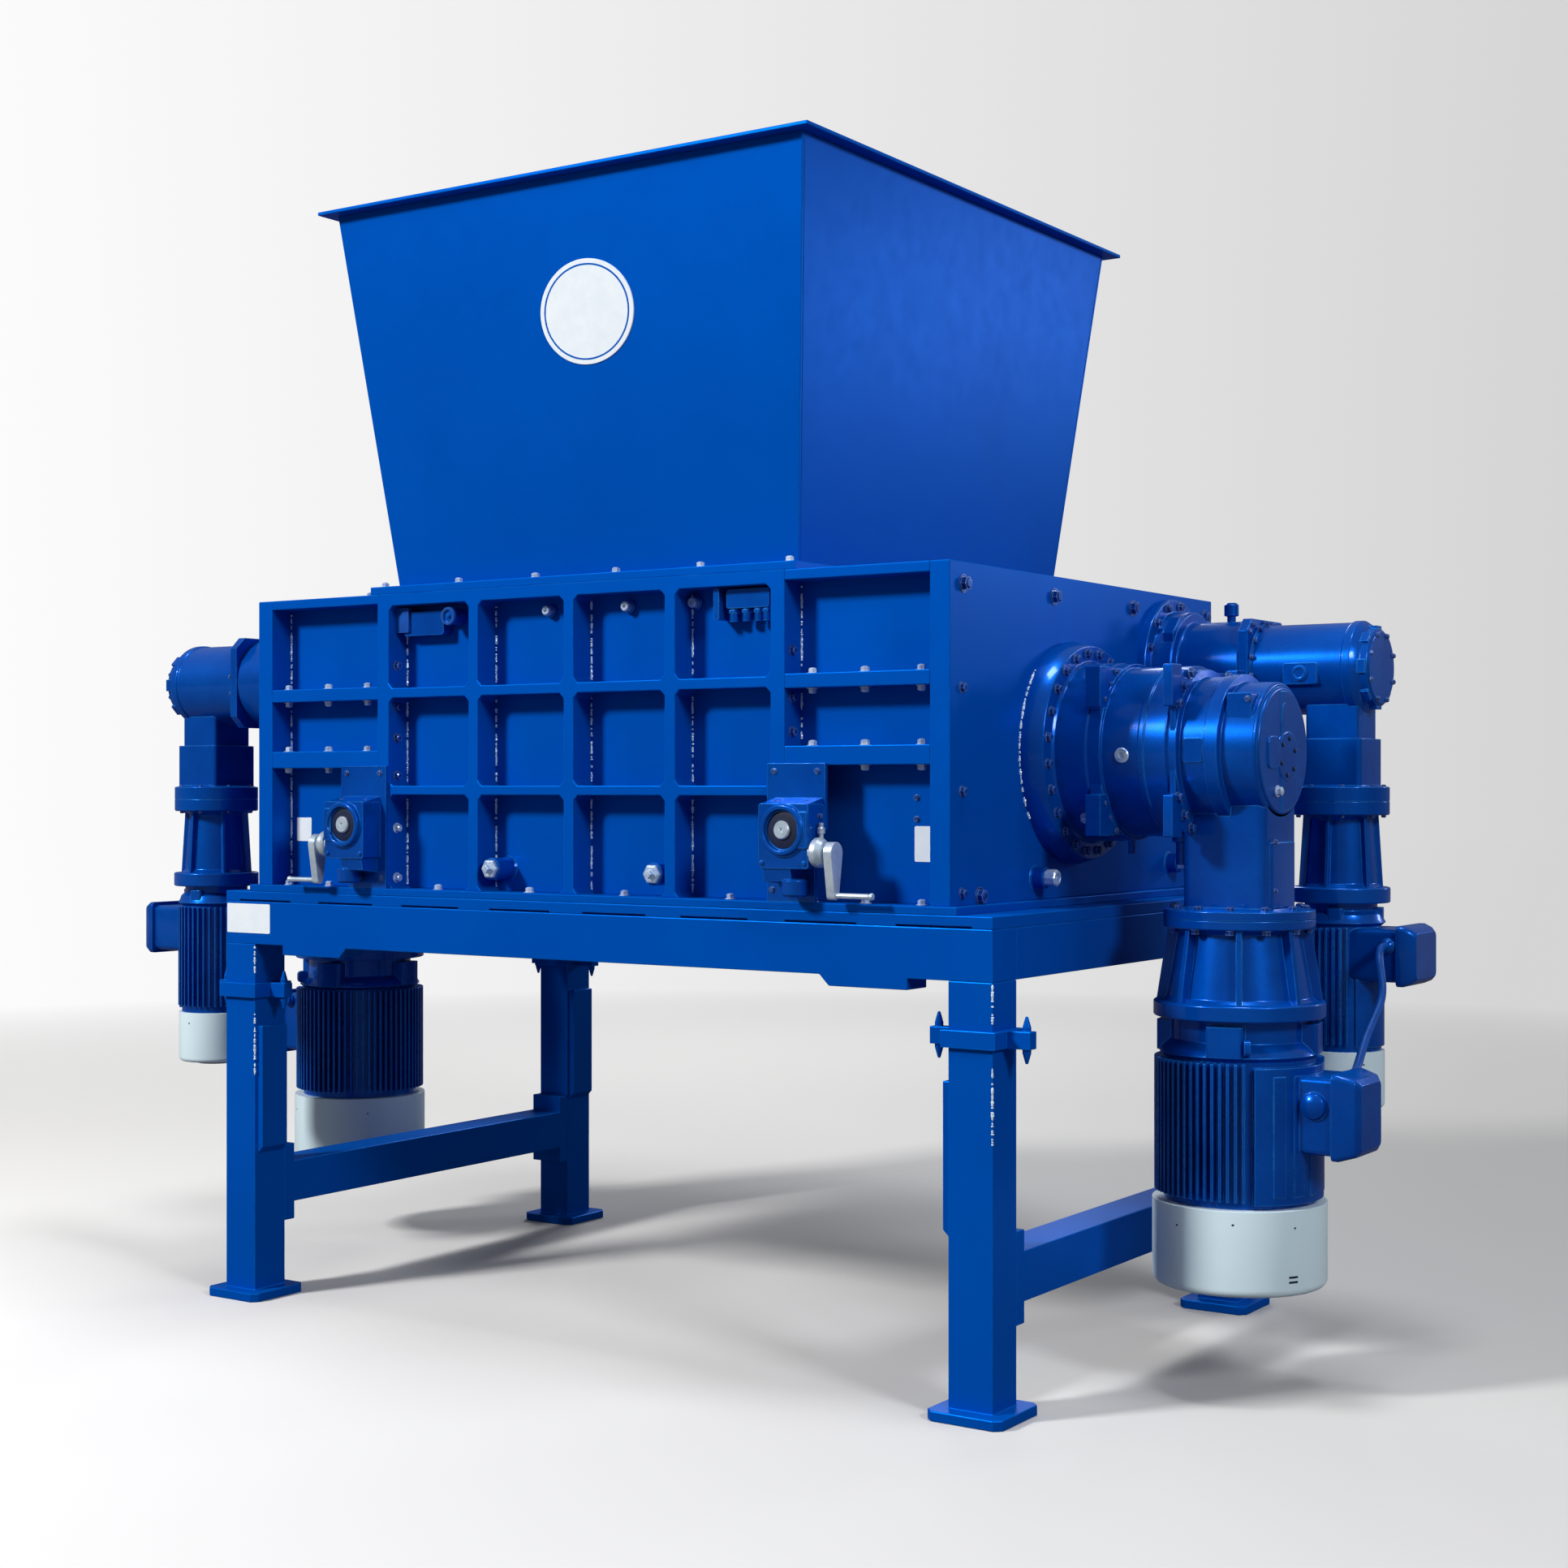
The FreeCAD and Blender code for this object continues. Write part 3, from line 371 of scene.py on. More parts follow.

# each row's worn colour is part worn paint and part painted edge highlight; its dust colour is part dust and part
# painted sheen on upward faces
finishSet = {
    "machineBlue": {"colour": (0.0, 0.092, 0.520), "deep": (0.0, 0.080, 0.465), "wornAndHighlight": (0.01, 0.27, 0.88),
                    "dustAndSheen": (0.0, 0.12, 0.46), "roughness": 0.35, "grain": 240.0, "bump": 0.12, "wearAndHighlight": 0.7,
                    "dustAndSheenAmount": 0.3, "metal": 0.24, "level": 0.0, "clouds": 1.2},
    "castBlue": {"colour": (0.0, 0.092, 0.500), "deep": (0.0, 0.060, 0.380), "wornAndHighlight": (0.04, 0.36, 0.88),
                 "dustAndSheen": (0.0, 0.11, 0.42), "roughness": 0.28, "grain": 420.0, "bump": 0.30, "wearAndHighlight": 0.9,
                 "dustAndSheenAmount": 0.3, "metal": 0.42, "level": 0.0, "coat": 0.30, "clouds": 4.0},
    "cowlEnamel": {"colour": (0.75, 0.93, 1.0), "deep": (0.71, 0.89, 0.98), "wornAndHighlight": (0.85, 0.92, 0.97),
                   "dustAndSheen": (0.66, 0.76, 0.83), "roughness": 0.42, "grain": 300.0, "bump": 0.10, "wearAndHighlight": 0.3,
                   "level": 0.3, "coat": 0.1, "clouds": 3.0},
    "brightSteel": {"colour": (0.66, 0.76, 0.86), "deep": (0.42, 0.54, 0.68), "wornAndHighlight": (0.88, 0.92, 0.96),
                    "dustAndSheen": (0.60, 0.66, 0.72), "roughness": 0.34, "grain": 500.0, "wearAndHighlight": 0.6, "dustAndSheenAmount": 0.1,
                    "metal": 0.5, "coat": 0.3, "clouds": 30.0},
    "paintedBolt": {"colour": (0.0, 0.070, 0.400), "deep": (0.0, 0.030, 0.220), "wornAndHighlight": (0.42, 0.62, 0.90),
                    "dustAndSheen": (0.02, 0.16, 0.46), "roughness": 0.22, "grain": 500.0, "wearAndHighlight": 0.6, "dustAndSheenAmount": 0.25,
                    "metal": 0.4, "level": 0.0, "coat": 0.6, "clouds": 40.0},
    "wornBolt": {"colour": (0.70, 0.82, 0.94), "deep": (0.26, 0.42, 0.72), "wornAndHighlight": (0.84, 0.92, 1.0),
                 "dustAndSheen": (0.72, 0.82, 0.94), "roughness": 0.30, "grain": 500.0, "wearAndHighlight": 0.8, "metal": 0.35,
                 "clouds": 45.0},
    # near-white weld beads: a painted glint for the highlights on the rough beads
    "weldPaintedGlint": {"colour": (0.82, 0.93, 1.0), "deep": (0.55, 0.76, 1.0), "wornAndHighlight": (0.86, 0.95, 1.0),
                  "dustAndSheen": (0.66, 0.80, 0.96), "roughness": 0.26, "grain": 500.0, "bump": 0.4, "wearAndHighlight": 0.6,
                  "dustAndSheenAmount": 0.1, "metal": 0.1, "clouds": 60.0},
    "toolSteel": {"colour": (0.22, 0.23, 0.25), "deep": (0.12, 0.12, 0.14), "wornAndHighlight": (0.50, 0.51, 0.53),
                  "dustAndSheen": (0.22, 0.21, 0.20), "roughness": 0.42, "grain": 380.0, "bump": 0.4, "wearAndHighlight": 0.8,
                  "dustAndSheenAmount": 0.4, "metal": 0.8, "clouds": 14.0},
    "cableSheath": {"colour": (0.0, 0.075, 0.40), "deep": (0.0, 0.05, 0.28), "wornAndHighlight": (0.08, 0.2, 0.5),
                    "dustAndSheen": (0.12, 0.2, 0.4), "roughness": 0.42, "grain": 600.0, "level": 0.2, "clouds": 12.0},
    # navy-black: used for small dark parts and as painted shade in the cowl slots, fan inlets and crank bore
    "darkRubberAndShade": {"colour": (0.002, 0.012, 0.060), "deep": (0.001, 0.006, 0.030), "wornAndHighlight": (0.02, 0.05, 0.14),
                   "dustAndSheen": (0.01, 0.03, 0.09), "roughness": 0.50, "grain": 500.0, "bump": 0.3, "level": 0.3,
                   "clouds": 20.0},
    "labelFilm": {"colour": (0.84, 0.91, 0.97), "deep": (0.78, 0.86, 0.94), "wornAndHighlight": (0.86, 0.88, 0.9),
                  "dustAndSheen": (0.7, 0.72, 0.75), "roughness": 0.35, "grain": 500.0, "bump": 0.05, "coat": 0.2,
                  "clouds": 25.0},
}


def makeFinish(name, given):
    values = {**plainFinish, **given}
    material = bpy.data.materials.new(name)
    material.use_nodes = True
    material.diffuse_color = (*values["colour"], 1.0)
    tree = material.node_tree
    shader = tree.nodes["Principled BSDF"]
    shader.inputs["Metallic"].default_value = values["metal"]
    shader.inputs["Specular IOR Level"].default_value = values["level"]
    shader.inputs["Coat Weight"].default_value = values["coat"]
    shader.inputs["Coat Roughness"].default_value = values["coatRoughness"]
    skin = placeGroup(tree, paintGrain, Color=values["colour"], Deep_Color=values["deep"],
                      Cloud_Scale=values["clouds"], Grain_Scale=values["grain"], Roughness=values["roughness"])
    # painted highlight: sharp edges lighter, mixed with patches of real wear
    edges = placeGroup(tree, edgeWearAndHighlight, Color=skin.outputs["Color"], Worn_Color=values["wornAndHighlight"], Amount=values["wearAndHighlight"])
    # painted sheen on upward faces, mixed with real dust
    withDustAndSheen = placeGroup(tree, dustAndTopSheen, Color=edges.outputs["Color"], Dust_Color=values["dustAndSheen"],
                         Amount=values["dustAndSheenAmount"])
    relief = tree.nodes.new("ShaderNodeBump")
    relief.inputs["Strength"].default_value = values["bump"]
    relief.inputs["Distance"].default_value = values["relief"]
    tree.links.new(skin.outputs["Height"], relief.inputs["Height"])
    tree.links.new(withDustAndSheen.outputs["Color"], shader.inputs["Base Color"])
    tree.links.new(skin.outputs["Roughness"], shader.inputs["Roughness"])
    tree.links.new(relief.outputs["Normal"], shader.inputs["Normal"])
    return material


finishes = {name: makeFinish(name, given) for name, given in finishSet.items()}
machineBlue, castBlue, cowlEnamel = (finishes[name] for name in ("machineBlue", "castBlue", "cowlEnamel"))
brightSteel, paintedBolt, wornBolt = (finishes[name] for name in ("brightSteel", "paintedBolt", "wornBolt"))
weldPaintedGlint, toolSteel, cableSheath = (finishes[name] for name in ("weldPaintedGlint", "toolSteel", "cableSheath"))
darkRubberAndShade, labelFilm = finishes["darkRubberAndShade"], finishes["labelFilm"]
print("materials made:", len(finishes))

nodeFinish = {"blue_paint": machineBlue, "pale_paint": cowlEnamel, "bright_steel": brightSteel,
              "dark_steel": toolSteel, "cable_sheath": cableSheath}
castNodes = ("gearbox", "lanterns", "motor", "crank_unit")
dressSet = {"mergeWithin": 0.00002, "flatAngle": 0.5, "edgeAngle": 32, "edgeWidth": 0.0025}


def dressCadNodes(values):
    slots = {row["node"]: row["material_slot"] for row in frame["record"]["subparts"]}
    for name, node in frame["nodes"].items():
        cast = any(word in name for word in castNodes)
        node.data.materials.clear()
        node.data.materials.append(castBlue if cast else nodeFinish[slots[name]])
        weld = node.modifiers.new("joinedCorners", "WELD")
        weld.merge_threshold = values["mergeWithin"]
        flat = node.modifiers.new("flatFaces", "DECIMATE")
        flat.decimate_type = "DISSOLVE"
        flat.angle_limit = math.radians(values["flatAngle"])
        edge = node.modifiers.new("softEdges", "BEVEL")
        edge.width = values["edgeWidth"]
        edge.segments = 2
        edge.limit_method = "ANGLE"
        edge.angle_limit = math.radians(values["edgeAngle"])


dressCadNodes(dressSet)
print("CAD nodes dressed")


# mesh kit
def axisVectors(axis):
    along = {"x": Vector((1, 0, 0)), "y": Vector((0, 1, 0)), "z": Vector((0, 0, 1))}[axis]
    across = Vector((1, 0, 0)) if axis == "z" else Vector((0, 1, 0)) if axis == "x" else Vector((1, 0, 0))
    other = Vector((0, 0, 1)) if axis != "z" else Vector((0, 1, 0))
    return along, across, other


def bridgeRings(bm, rings):
    for low, high in zip(rings, rings[1:]):
        for index in range(len(low)):
            after = (index + 1) % len(low)
            bm.faces.new((low[index], low[after], high[after], high[index]))


def closeEnds(bm, rings):
    bm.faces.new(rings[0])
    bm.faces.new(rings[-1])


def addCircles(bm, profile, centre, axis, segments):
    along, across, other = axisVectors(axis)
    rings = []
    for distance, radius in profile:
        middle = Vector(centre) + along * distance
        ring = []
        for index in range(segments):
            angle = 2 * math.pi * index / segments
            outward = across * radius * math.cos(angle) + other * radius * math.sin(angle)
            ring.append(bm.verts.new(middle + outward))
        rings.append(ring)
    return rings


def addLathe(bm, profile, centre, axis, segments=96):
    rings = addCircles(bm, profile, centre, axis, segments)
    bridgeRings(bm, rings)
    closeEnds(bm, rings)


def addRing(bm, profile, centre, axis, segments=64):
    rings = addCircles(bm, profile, centre, axis, segments)
    bridgeRings(bm, rings + rings[:1])


def addPrism(bm, outline, axis, start, end):
    along, across, other = axisVectors(axis)
    layers = [[bm.verts.new(along * distance + across * u + other * v) for u, v in outline]
              for distance in (start, end)]
    bridgeRings(bm, layers)
    closeEnds(bm, layers)


def addBox(bm, low, high):
    outline = [(low[0], low[1]), (high[0], low[1]), (high[0], high[1]), (low[0], high[1])]
    addPrism(bm, outline, "z", low[2], high[2])


def roundedOutline(u0, u1, v0, v1, radius, steps=6):
    points = []
    for cu, cv, first in ((u1 - radius, v1 - radius, 0), (u0 + radius, v1 - radius, 90),
                          (u0 + radius, v0 + radius, 180), (u1 - radius, v0 + radius, 270)):
        for index in range(steps + 1):
            angle = math.radians(first + 90 * index / steps)
            points.append((cu + radius * math.cos(angle), cv + radius * math.sin(angle)))
    return points


def turnMesh(bm, degrees, centre=(0, 0, 0), axis="z"):
    bmesh.ops.rotate(bm, verts=bm.verts, cent=centre,
                     matrix=Matrix.Rotation(math.radians(degrees), 3, axis.upper()))


def addTurnedCopy(bm):
    copy = bmesh.ops.duplicate(bm, geom=bm.verts[:] + bm.edges[:] + bm.faces[:])
    verts = [item for item in copy["geom"] if isinstance(item, bmesh.types.BMVert)]
    bmesh.ops.rotate(bm, verts=verts, cent=(0, 0, 0), matrix=Matrix.Rotation(halfTurn, 3, "Z"))


def mergeMesh(bm, other):
    mesh = bpy.data.meshes.new("part")
    other.to_mesh(mesh)
    other.free()
    bm.from_mesh(mesh)
    bpy.data.meshes.remove(mesh)


def mirrored(bm):
    bmesh.ops.scale(bm, vec=(-1, 1, 1), verts=bm.verts)
    return bm


def makePiece(name, bm, material, body="root", bevel=0.0, stands=()):
    bmesh.ops.recalc_face_normals(bm, faces=bm.faces)
    mesh = bpy.data.meshes.new(name)
    bm.to_mesh(mesh)
    bm.free()
    mesh.materials.append(material)
    mesh.shade_smooth()
    mesh.set_sharp_from_angle(angle=math.radians(30))
    piece = bpy.data.objects.new(name, mesh)
    bpy.context.scene.collection.objects.link(piece)
    if bevel:
        edge = piece.modifiers.new("softEdges", "BEVEL")
        edge.width = bevel
        edge.segments = 2
        edge.limit_method = "ANGLE"
        edge.angle_limit = math.radians(30)
        edge.harden_normals = True
    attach(piece, body)
    if stands:
        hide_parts(*stands)
    return piece


# cable between the terminal boxes
cableSet = {
    "radius": 0.011,
    "route": [
        (1.832, 0.360, 1.082), (1.832, 0.331, 1.082), (1.837, 0.301, 1.072), (1.846, 0.273, 1.048),
        (1.857, 0.258, 1.013), (1.865, 0.245, 0.975), (1.867, 0.220, 0.940), (1.865, 0.184, 0.910),
        (1.863, 0.144, 0.878), (1.863, 0.105, 0.843), (1.866, 0.071, 0.811), (1.869, 0.039, 0.790),
        (1.872, 0.006, 0.779), (1.872, -0.025, 0.779),
    ],
    "length": 0.515,
}


def makeCable(values):
    curve = bpy.data.curves.new("motorCable", "CURVE")
    curve.dimensions = "3D"
    curve.bevel_depth = values["radius"]
    curve.bevel_resolution = 6
    curve.resolution_u = 10
    curve.use_fill_caps = True
    spline = curve.splines.new("NURBS")
    spline.points.add(len(values["route"]) - 1)
    for point, place in zip(spline.points, values["route"]):
        point.co = (*place, 1.0)
    spline.order_u = 3
    spline.use_endpoint_u = True
    curve.materials.append(cableSheath)
    cable = bpy.data.objects.new("motorCable", curve)
    bpy.context.scene.collection.objects.link(cable)
    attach(cable, "root")
    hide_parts("motor_cable")


makeCable(cableSet)
print("cable made")


# geometry trees
def newGeometryTree(name, inputs):
    tree = bpy.data.node_groups.new(name, "GeometryNodeTree")
    tree.interface.new_socket("Geometry", in_out="INPUT", socket_type="NodeSocketGeometry")
    for label, kind, value in inputs:
        socket = tree.interface.new_socket(label, in_out="INPUT", socket_type=kind)
        if value is not None:
            socket.default_value = value
    tree.interface.new_socket("Geometry", in_out="OUTPUT", socket_type="NodeSocketGeometry")
    return tree, tree.nodes.new("NodeGroupInput"), tree.nodes.new("NodeGroupOutput")


def finishTree(tree, ins, outs, instances):
    real = tree.nodes.new("GeometryNodeRealizeInstances")
    paint = tree.nodes.new("GeometryNodeSetMaterial")
    tree.links.new(instances, real.inputs["Geometry"])
    tree.links.new(real.outputs["Geometry"], paint.inputs["Geometry"])
    tree.links.new(ins.outputs["Finish"], paint.inputs["Material"])
    tree.links.new(paint.outputs["Geometry"], outs.inputs["Geometry"])
    return tree


def scaled(tree, value, factor):
    node = addNode(tree, "ShaderNodeMath", operation="MULTIPLY")
    tree.links.new(value, node.inputs[0])
    node.inputs[1].default_value = factor
    return node.outputs["Value"]


def vectorZ(tree, value):
    node = tree.nodes.new("ShaderNodeCombineXYZ")
    tree.links.new(value, node.inputs["Z"])
    return node.outputs["Vector"]


def addShape(tree, kind, place, **sizes):
    shape = tree.nodes.new(kind)
    for label, value in sizes.items():
        socket = shape.inputs[label.replace("_", " ")]
        if isinstance(value, (int, float)):
            socket.default_value = value
        else:
            tree.links.new(value, socket)
    move = tree.nodes.new("GeometryNodeTransform")
    tree.links.new(shape.outputs["Mesh"], move.inputs["Geometry"])
    if place is not None:
        tree.links.new(vectorZ(tree, place), move.inputs["Translation"])
    return move.outputs["Geometry"]


def addRandom(tree, kind, seed, socketType, limits=()):
    node = addNode(tree, "FunctionNodeRandomValue", data_type=kind)
    tree.links.new(seed, node.inputs["Seed"])
    for label, value in zip(("Min", "Max"), limits):
        socket = next(s for s in node.inputs if s.name == label and s.type == socketType)
        socket.default_value = value
    return node, next(s for s in node.outputs if s.type == socketType and s.enabled)


def makeBoltTree():
    tree, ins, outs = newGeometryTree("hexBolts", [
        ("Head Radius", "NodeSocketFloat", 0.010), ("Head Height", "NodeSocketFloat", 0.010),
        ("Washer Radius", "NodeSocketFloat", 0.014), ("Washer Height", "NodeSocketFloat", 0.002),
        ("Seed", "NodeSocketInt", 3), ("Finish", "NodeSocketMaterial", None),
    ])
    radius, height = ins.outputs["Head Radius"], ins.outputs["Head Height"]
    join = tree.nodes.new("GeometryNodeJoinGeometry")
    for part in (
        addShape(tree, "GeometryNodeMeshCylinder", scaled(tree, height, 0.5), Vertices=6, Radius=radius, Depth=height),
        addShape(tree, "GeometryNodeMeshCone", height, Vertices=12, Radius_Top=scaled(tree, radius, 0.55),
                 Radius_Bottom=scaled(tree, radius, 0.86), Depth=scaled(tree, height, 0.2)),
        addShape(tree, "GeometryNodeMeshCylinder", None, Vertices=16, Radius=ins.outputs["Washer Radius"],
                 Depth=ins.outputs["Washer Height"]),
    ):
        tree.links.new(part, join.inputs["Geometry"])
    facing = tree.nodes.new("GeometryNodeInputNamedAttribute")
    facing.data_type = "FLOAT_VECTOR"
    facing.inputs["Name"].default_value = "facing"
    align = addNode(tree, "FunctionNodeAlignRotationToVector", axis="Z")
    tree.links.new(facing.outputs["Attribute"], align.inputs["Vector"])
    spin = addRandom(tree, "FLOAT", ins.outputs["Seed"], "VALUE", (0.0, math.pi))[1]
    roll = tree.nodes.new("FunctionNodeAxisAngleToRotation")
    roll.inputs["Axis"].default_value = (0, 0, 1)
    tree.links.new(spin, roll.inputs["Angle"])
    turn = addNode(tree, "FunctionNodeRotateRotation", rotation_space="LOCAL")
    tree.links.new(align.outputs["Rotation"], turn.inputs["Rotation"])
    tree.links.new(roll.outputs["Rotation"], turn.inputs["Rotate By"])
    place = tree.nodes.new("GeometryNodeInstanceOnPoints")
    tree.links.new(ins.outputs["Geometry"], place.inputs["Points"])
    tree.links.new(join.outputs["Geometry"], place.inputs["Instance"])
    tree.links.new(turn.outputs["Rotation"], place.inputs["Rotation"])
    return finishTree(tree, ins, outs, place.outputs["Instances"])


def makeWeldTree():
    tree, ins, outs = newGeometryTree("weldBead", [
        ("Bead Radius", "NodeSocketFloat", 0.004), ("Spacing", "NodeSocketFloat", 0.006),
        ("Kept Share", "NodeSocketFloat", 0.8),
        ("Seed", "NodeSocketInt", 5), ("Finish", "NodeSocketMaterial", None),
    ])
    line = tree.nodes.new("GeometryNodeMeshToCurve")
    steps = addNode(tree, "GeometryNodeResampleCurve", mode="LENGTH")
    blob = tree.nodes.new("GeometryNodeMeshIcoSphere")
    blob.inputs["Subdivisions"].default_value = 1
    seed = ins.outputs["Seed"]
    size = addRandom(tree, "FLOAT_VECTOR", seed, "VECTOR", ((0.45, 0.45, 0.6), (1.35, 1.35, 1.9)))[1]
    place = tree.nodes.new("GeometryNodeInstanceOnPoints")
    tree.links.new(ins.outputs["Geometry"], line.inputs["Mesh"])
    tree.links.new(line.outputs["Curve"], steps.inputs["Curve"])
    tree.links.new(ins.outputs["Spacing"], steps.inputs["Length"])
    tree.links.new(steps.outputs["Curve"], place.inputs["Points"])
    tree.links.new(ins.outputs["Bead Radius"], blob.inputs["Radius"])
    tree.links.new(blob.outputs["Mesh"], place.inputs["Instance"])
    tree.links.new(size, place.inputs["Scale"])
    lot, kept = addRandom(tree, "BOOLEAN", seed, "BOOLEAN")
    tree.links.new(ins.outputs["Kept Share"], lot.inputs["Probability"])
    tree.links.new(kept, place.inputs["Selection"])
    return finishTree(tree, ins, outs, place.outputs["Instances"])


def makeFinTree():
    tree, ins, outs = newGeometryTree("coolingFins", [
        ("Count", "NodeSocketInt", 50), ("Start Angle", "NodeSocketFloat", 0.0), ("Step Angle", "NodeSocketFloat", 0.09),
        ("Inner Radius", "NodeSocketFloat", 0.18), ("Depth", "NodeSocketFloat", 0.02),
        ("Height", "NodeSocketFloat", 0.3), ("Thickness", "NodeSocketFloat", 0.006),
        ("Finish", "NodeSocketMaterial", None),
    ])
    fin = tree.nodes.new("GeometryNodeMeshCube")
    size = tree.nodes.new("ShaderNodeCombineXYZ")
    for label, source in (("X", "Depth"), ("Y", "Thickness"), ("Z", "Height")):
        tree.links.new(ins.outputs[source], size.inputs[label])
    tree.links.new(size.outputs["Vector"], fin.inputs["Size"])
    reach = addNode(tree, "ShaderNodeMath", operation="MULTIPLY_ADD")
    tree.links.new(ins.outputs["Depth"], reach.inputs[0])
    reach.inputs[1].default_value = 0.5
    tree.links.new(ins.outputs["Inner Radius"], reach.inputs[2])
    outward = tree.nodes.new("ShaderNodeCombineXYZ")
    tree.links.new(reach.outputs["Value"], outward.inputs["X"])
    move = tree.nodes.new("GeometryNodeTransform")
    tree.links.new(fin.outputs["Mesh"], move.inputs["Geometry"])
    tree.links.new(outward.outputs["Vector"], move.inputs["Translation"])
    points = tree.nodes.new("GeometryNodePoints")
    tree.links.new(ins.outputs["Count"], points.inputs["Count"])
    angle = addNode(tree, "ShaderNodeMath", operation="MULTIPLY_ADD")
    tree.links.new(tree.nodes.new("GeometryNodeInputIndex").outputs["Index"], angle.inputs[0])
    tree.links.new(ins.outputs["Step Angle"], angle.inputs[1])
    tree.links.new(ins.outputs["Start Angle"], angle.inputs[2])
    roll = tree.nodes.new("FunctionNodeAxisAngleToRotation")
    roll.inputs["Axis"].default_value = (0, 0, 1)
    tree.links.new(angle.outputs["Value"], roll.inputs["Angle"])
    place = tree.nodes.new("GeometryNodeInstanceOnPoints")
    tree.links.new(points.outputs["Points"], place.inputs["Points"])
    tree.links.new(move.outputs["Geometry"], place.inputs["Instance"])
    tree.links.new(roll.outputs["Rotation"], place.inputs["Rotation"])
    return finishTree(tree, ins, outs, place.outputs["Instances"])


boltTree = makeBoltTree()
weldTree = makeWeldTree()
finTree = makeFinTree()


def growMesh(name, mesh, tree, values):
    seedObject = bpy.data.objects.new(name + "Seed", mesh)
    bpy.context.scene.collection.objects.link(seedObject)
    grow = seedObject.modifiers.new("grow", "NODES")
    grow.node_group = tree
    for item in tree.interface.items_tree:
        if item.in_out == "INPUT" and item.name in values:
            grow[item.identifier] = values[item.name]
    depsgraph = bpy.context.evaluated_depsgraph_get()
    grown = bpy.data.meshes.new_from_object(seedObject.evaluated_get(depsgraph))
    bpy.data.objects.remove(seedObject)
    grown.name = name
    return grown


def makeGrownPiece(name, mesh, tree, values):
    piece = bpy.data.objects.new(name, growMesh(name, mesh, tree, values))
    bpy.context.scene.collection.objects.link(piece)
    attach(piece, "root")


boltKinds = {
    "flange": {"Head Radius": 0.011, "Head Height": 0.011, "Washer Radius": 0.0145, "Washer Height": 0.002,
               "Seed": 3, "Finish": paintedBolt},
    "trim": {"Head Radius": 0.0065, "Head Height": 0.006, "Washer Radius": 0.008, "Washer Height": 0.001,
             "Seed": 4, "Finish": paintedBolt},
    "plate": {"Head Radius": 0.017, "Head Height": 0.015, "Washer Radius": 0.023, "Washer Height": 0.004,
              "Seed": 5, "Finish": paintedBolt},
    "bright": {"Head Radius": 0.011, "Head Height": 0.012, "Washer Radius": 0.015, "Washer Height": 0.003,
               "Seed": 6, "Finish": wornBolt},
    "dark": {"Head Radius": 0.0055, "Head Height": 0.003, "Washer Radius": 0.0062, "Washer Height": 0.001,
             "Seed": 7, "Finish": darkRubberAndShade},
}
boltSpots = {kind: [] for kind in boltKinds}


def turnedPlace(place):
    return Vector((-place[0], -place[1], place[2]))


def addBolts(kind, places, facing, bothEnds=True):
    for place in places:
        boltSpots[kind].append((Vector(place), Vector(facing)))
        if bothEnds:
            boltSpots[kind].append((turnedPlace(place), turnedPlace(facing)))


def ringPlaces(count, radius, centre, axis, start=0.0, sweep=360.0):
    across, other = axisVectors(axis)[1:]
    places = []
    for index in range(count):
        angle = math.radians(start + sweep * index / count)
        places.append(Vector(centre) + across * radius * math.cos(angle) + other * radius * math.sin(angle))
    return places


def makeAllBolts():
    for kind, spots in boltSpots.items():
        mesh = bpy.data.meshes.new(kind + "BoltSpots")
        mesh.from_pydata([place for place, facing in spots], [], [])
        attribute = mesh.attributes.new("facing", "FLOAT_VECTOR", "POINT")
        for item, (place, facing) in zip(attribute.data, spots):
            item.vector = facing
        makeGrownPiece(kind + "Bolts", mesh, boltTree, boltKinds[kind])


weldLines = []


def addWeld(points, bothEnds=False):
    weldLines.append(points)
    if bothEnds:
        weldLines.append([(-x, -y, z) for x, y, z in points])


def makeWelds(values):
    vertices, edges = [], []
    for points in weldLines:
        first = len(vertices)
        vertices += [tuple(point) for point in points]
        edges += [(first + index, first + index + 1) for index in range(len(points) - 1)]
    mesh = bpy.data.meshes.new("weldPaths")
    mesh.from_pydata(vertices, edges, [])
    makeGrownPiece("weldBeads", mesh, weldTree, values)


# large drive
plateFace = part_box("right_end_plate")[1].x
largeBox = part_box("right_large_gearbox")
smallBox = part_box("right_small_gearbox")

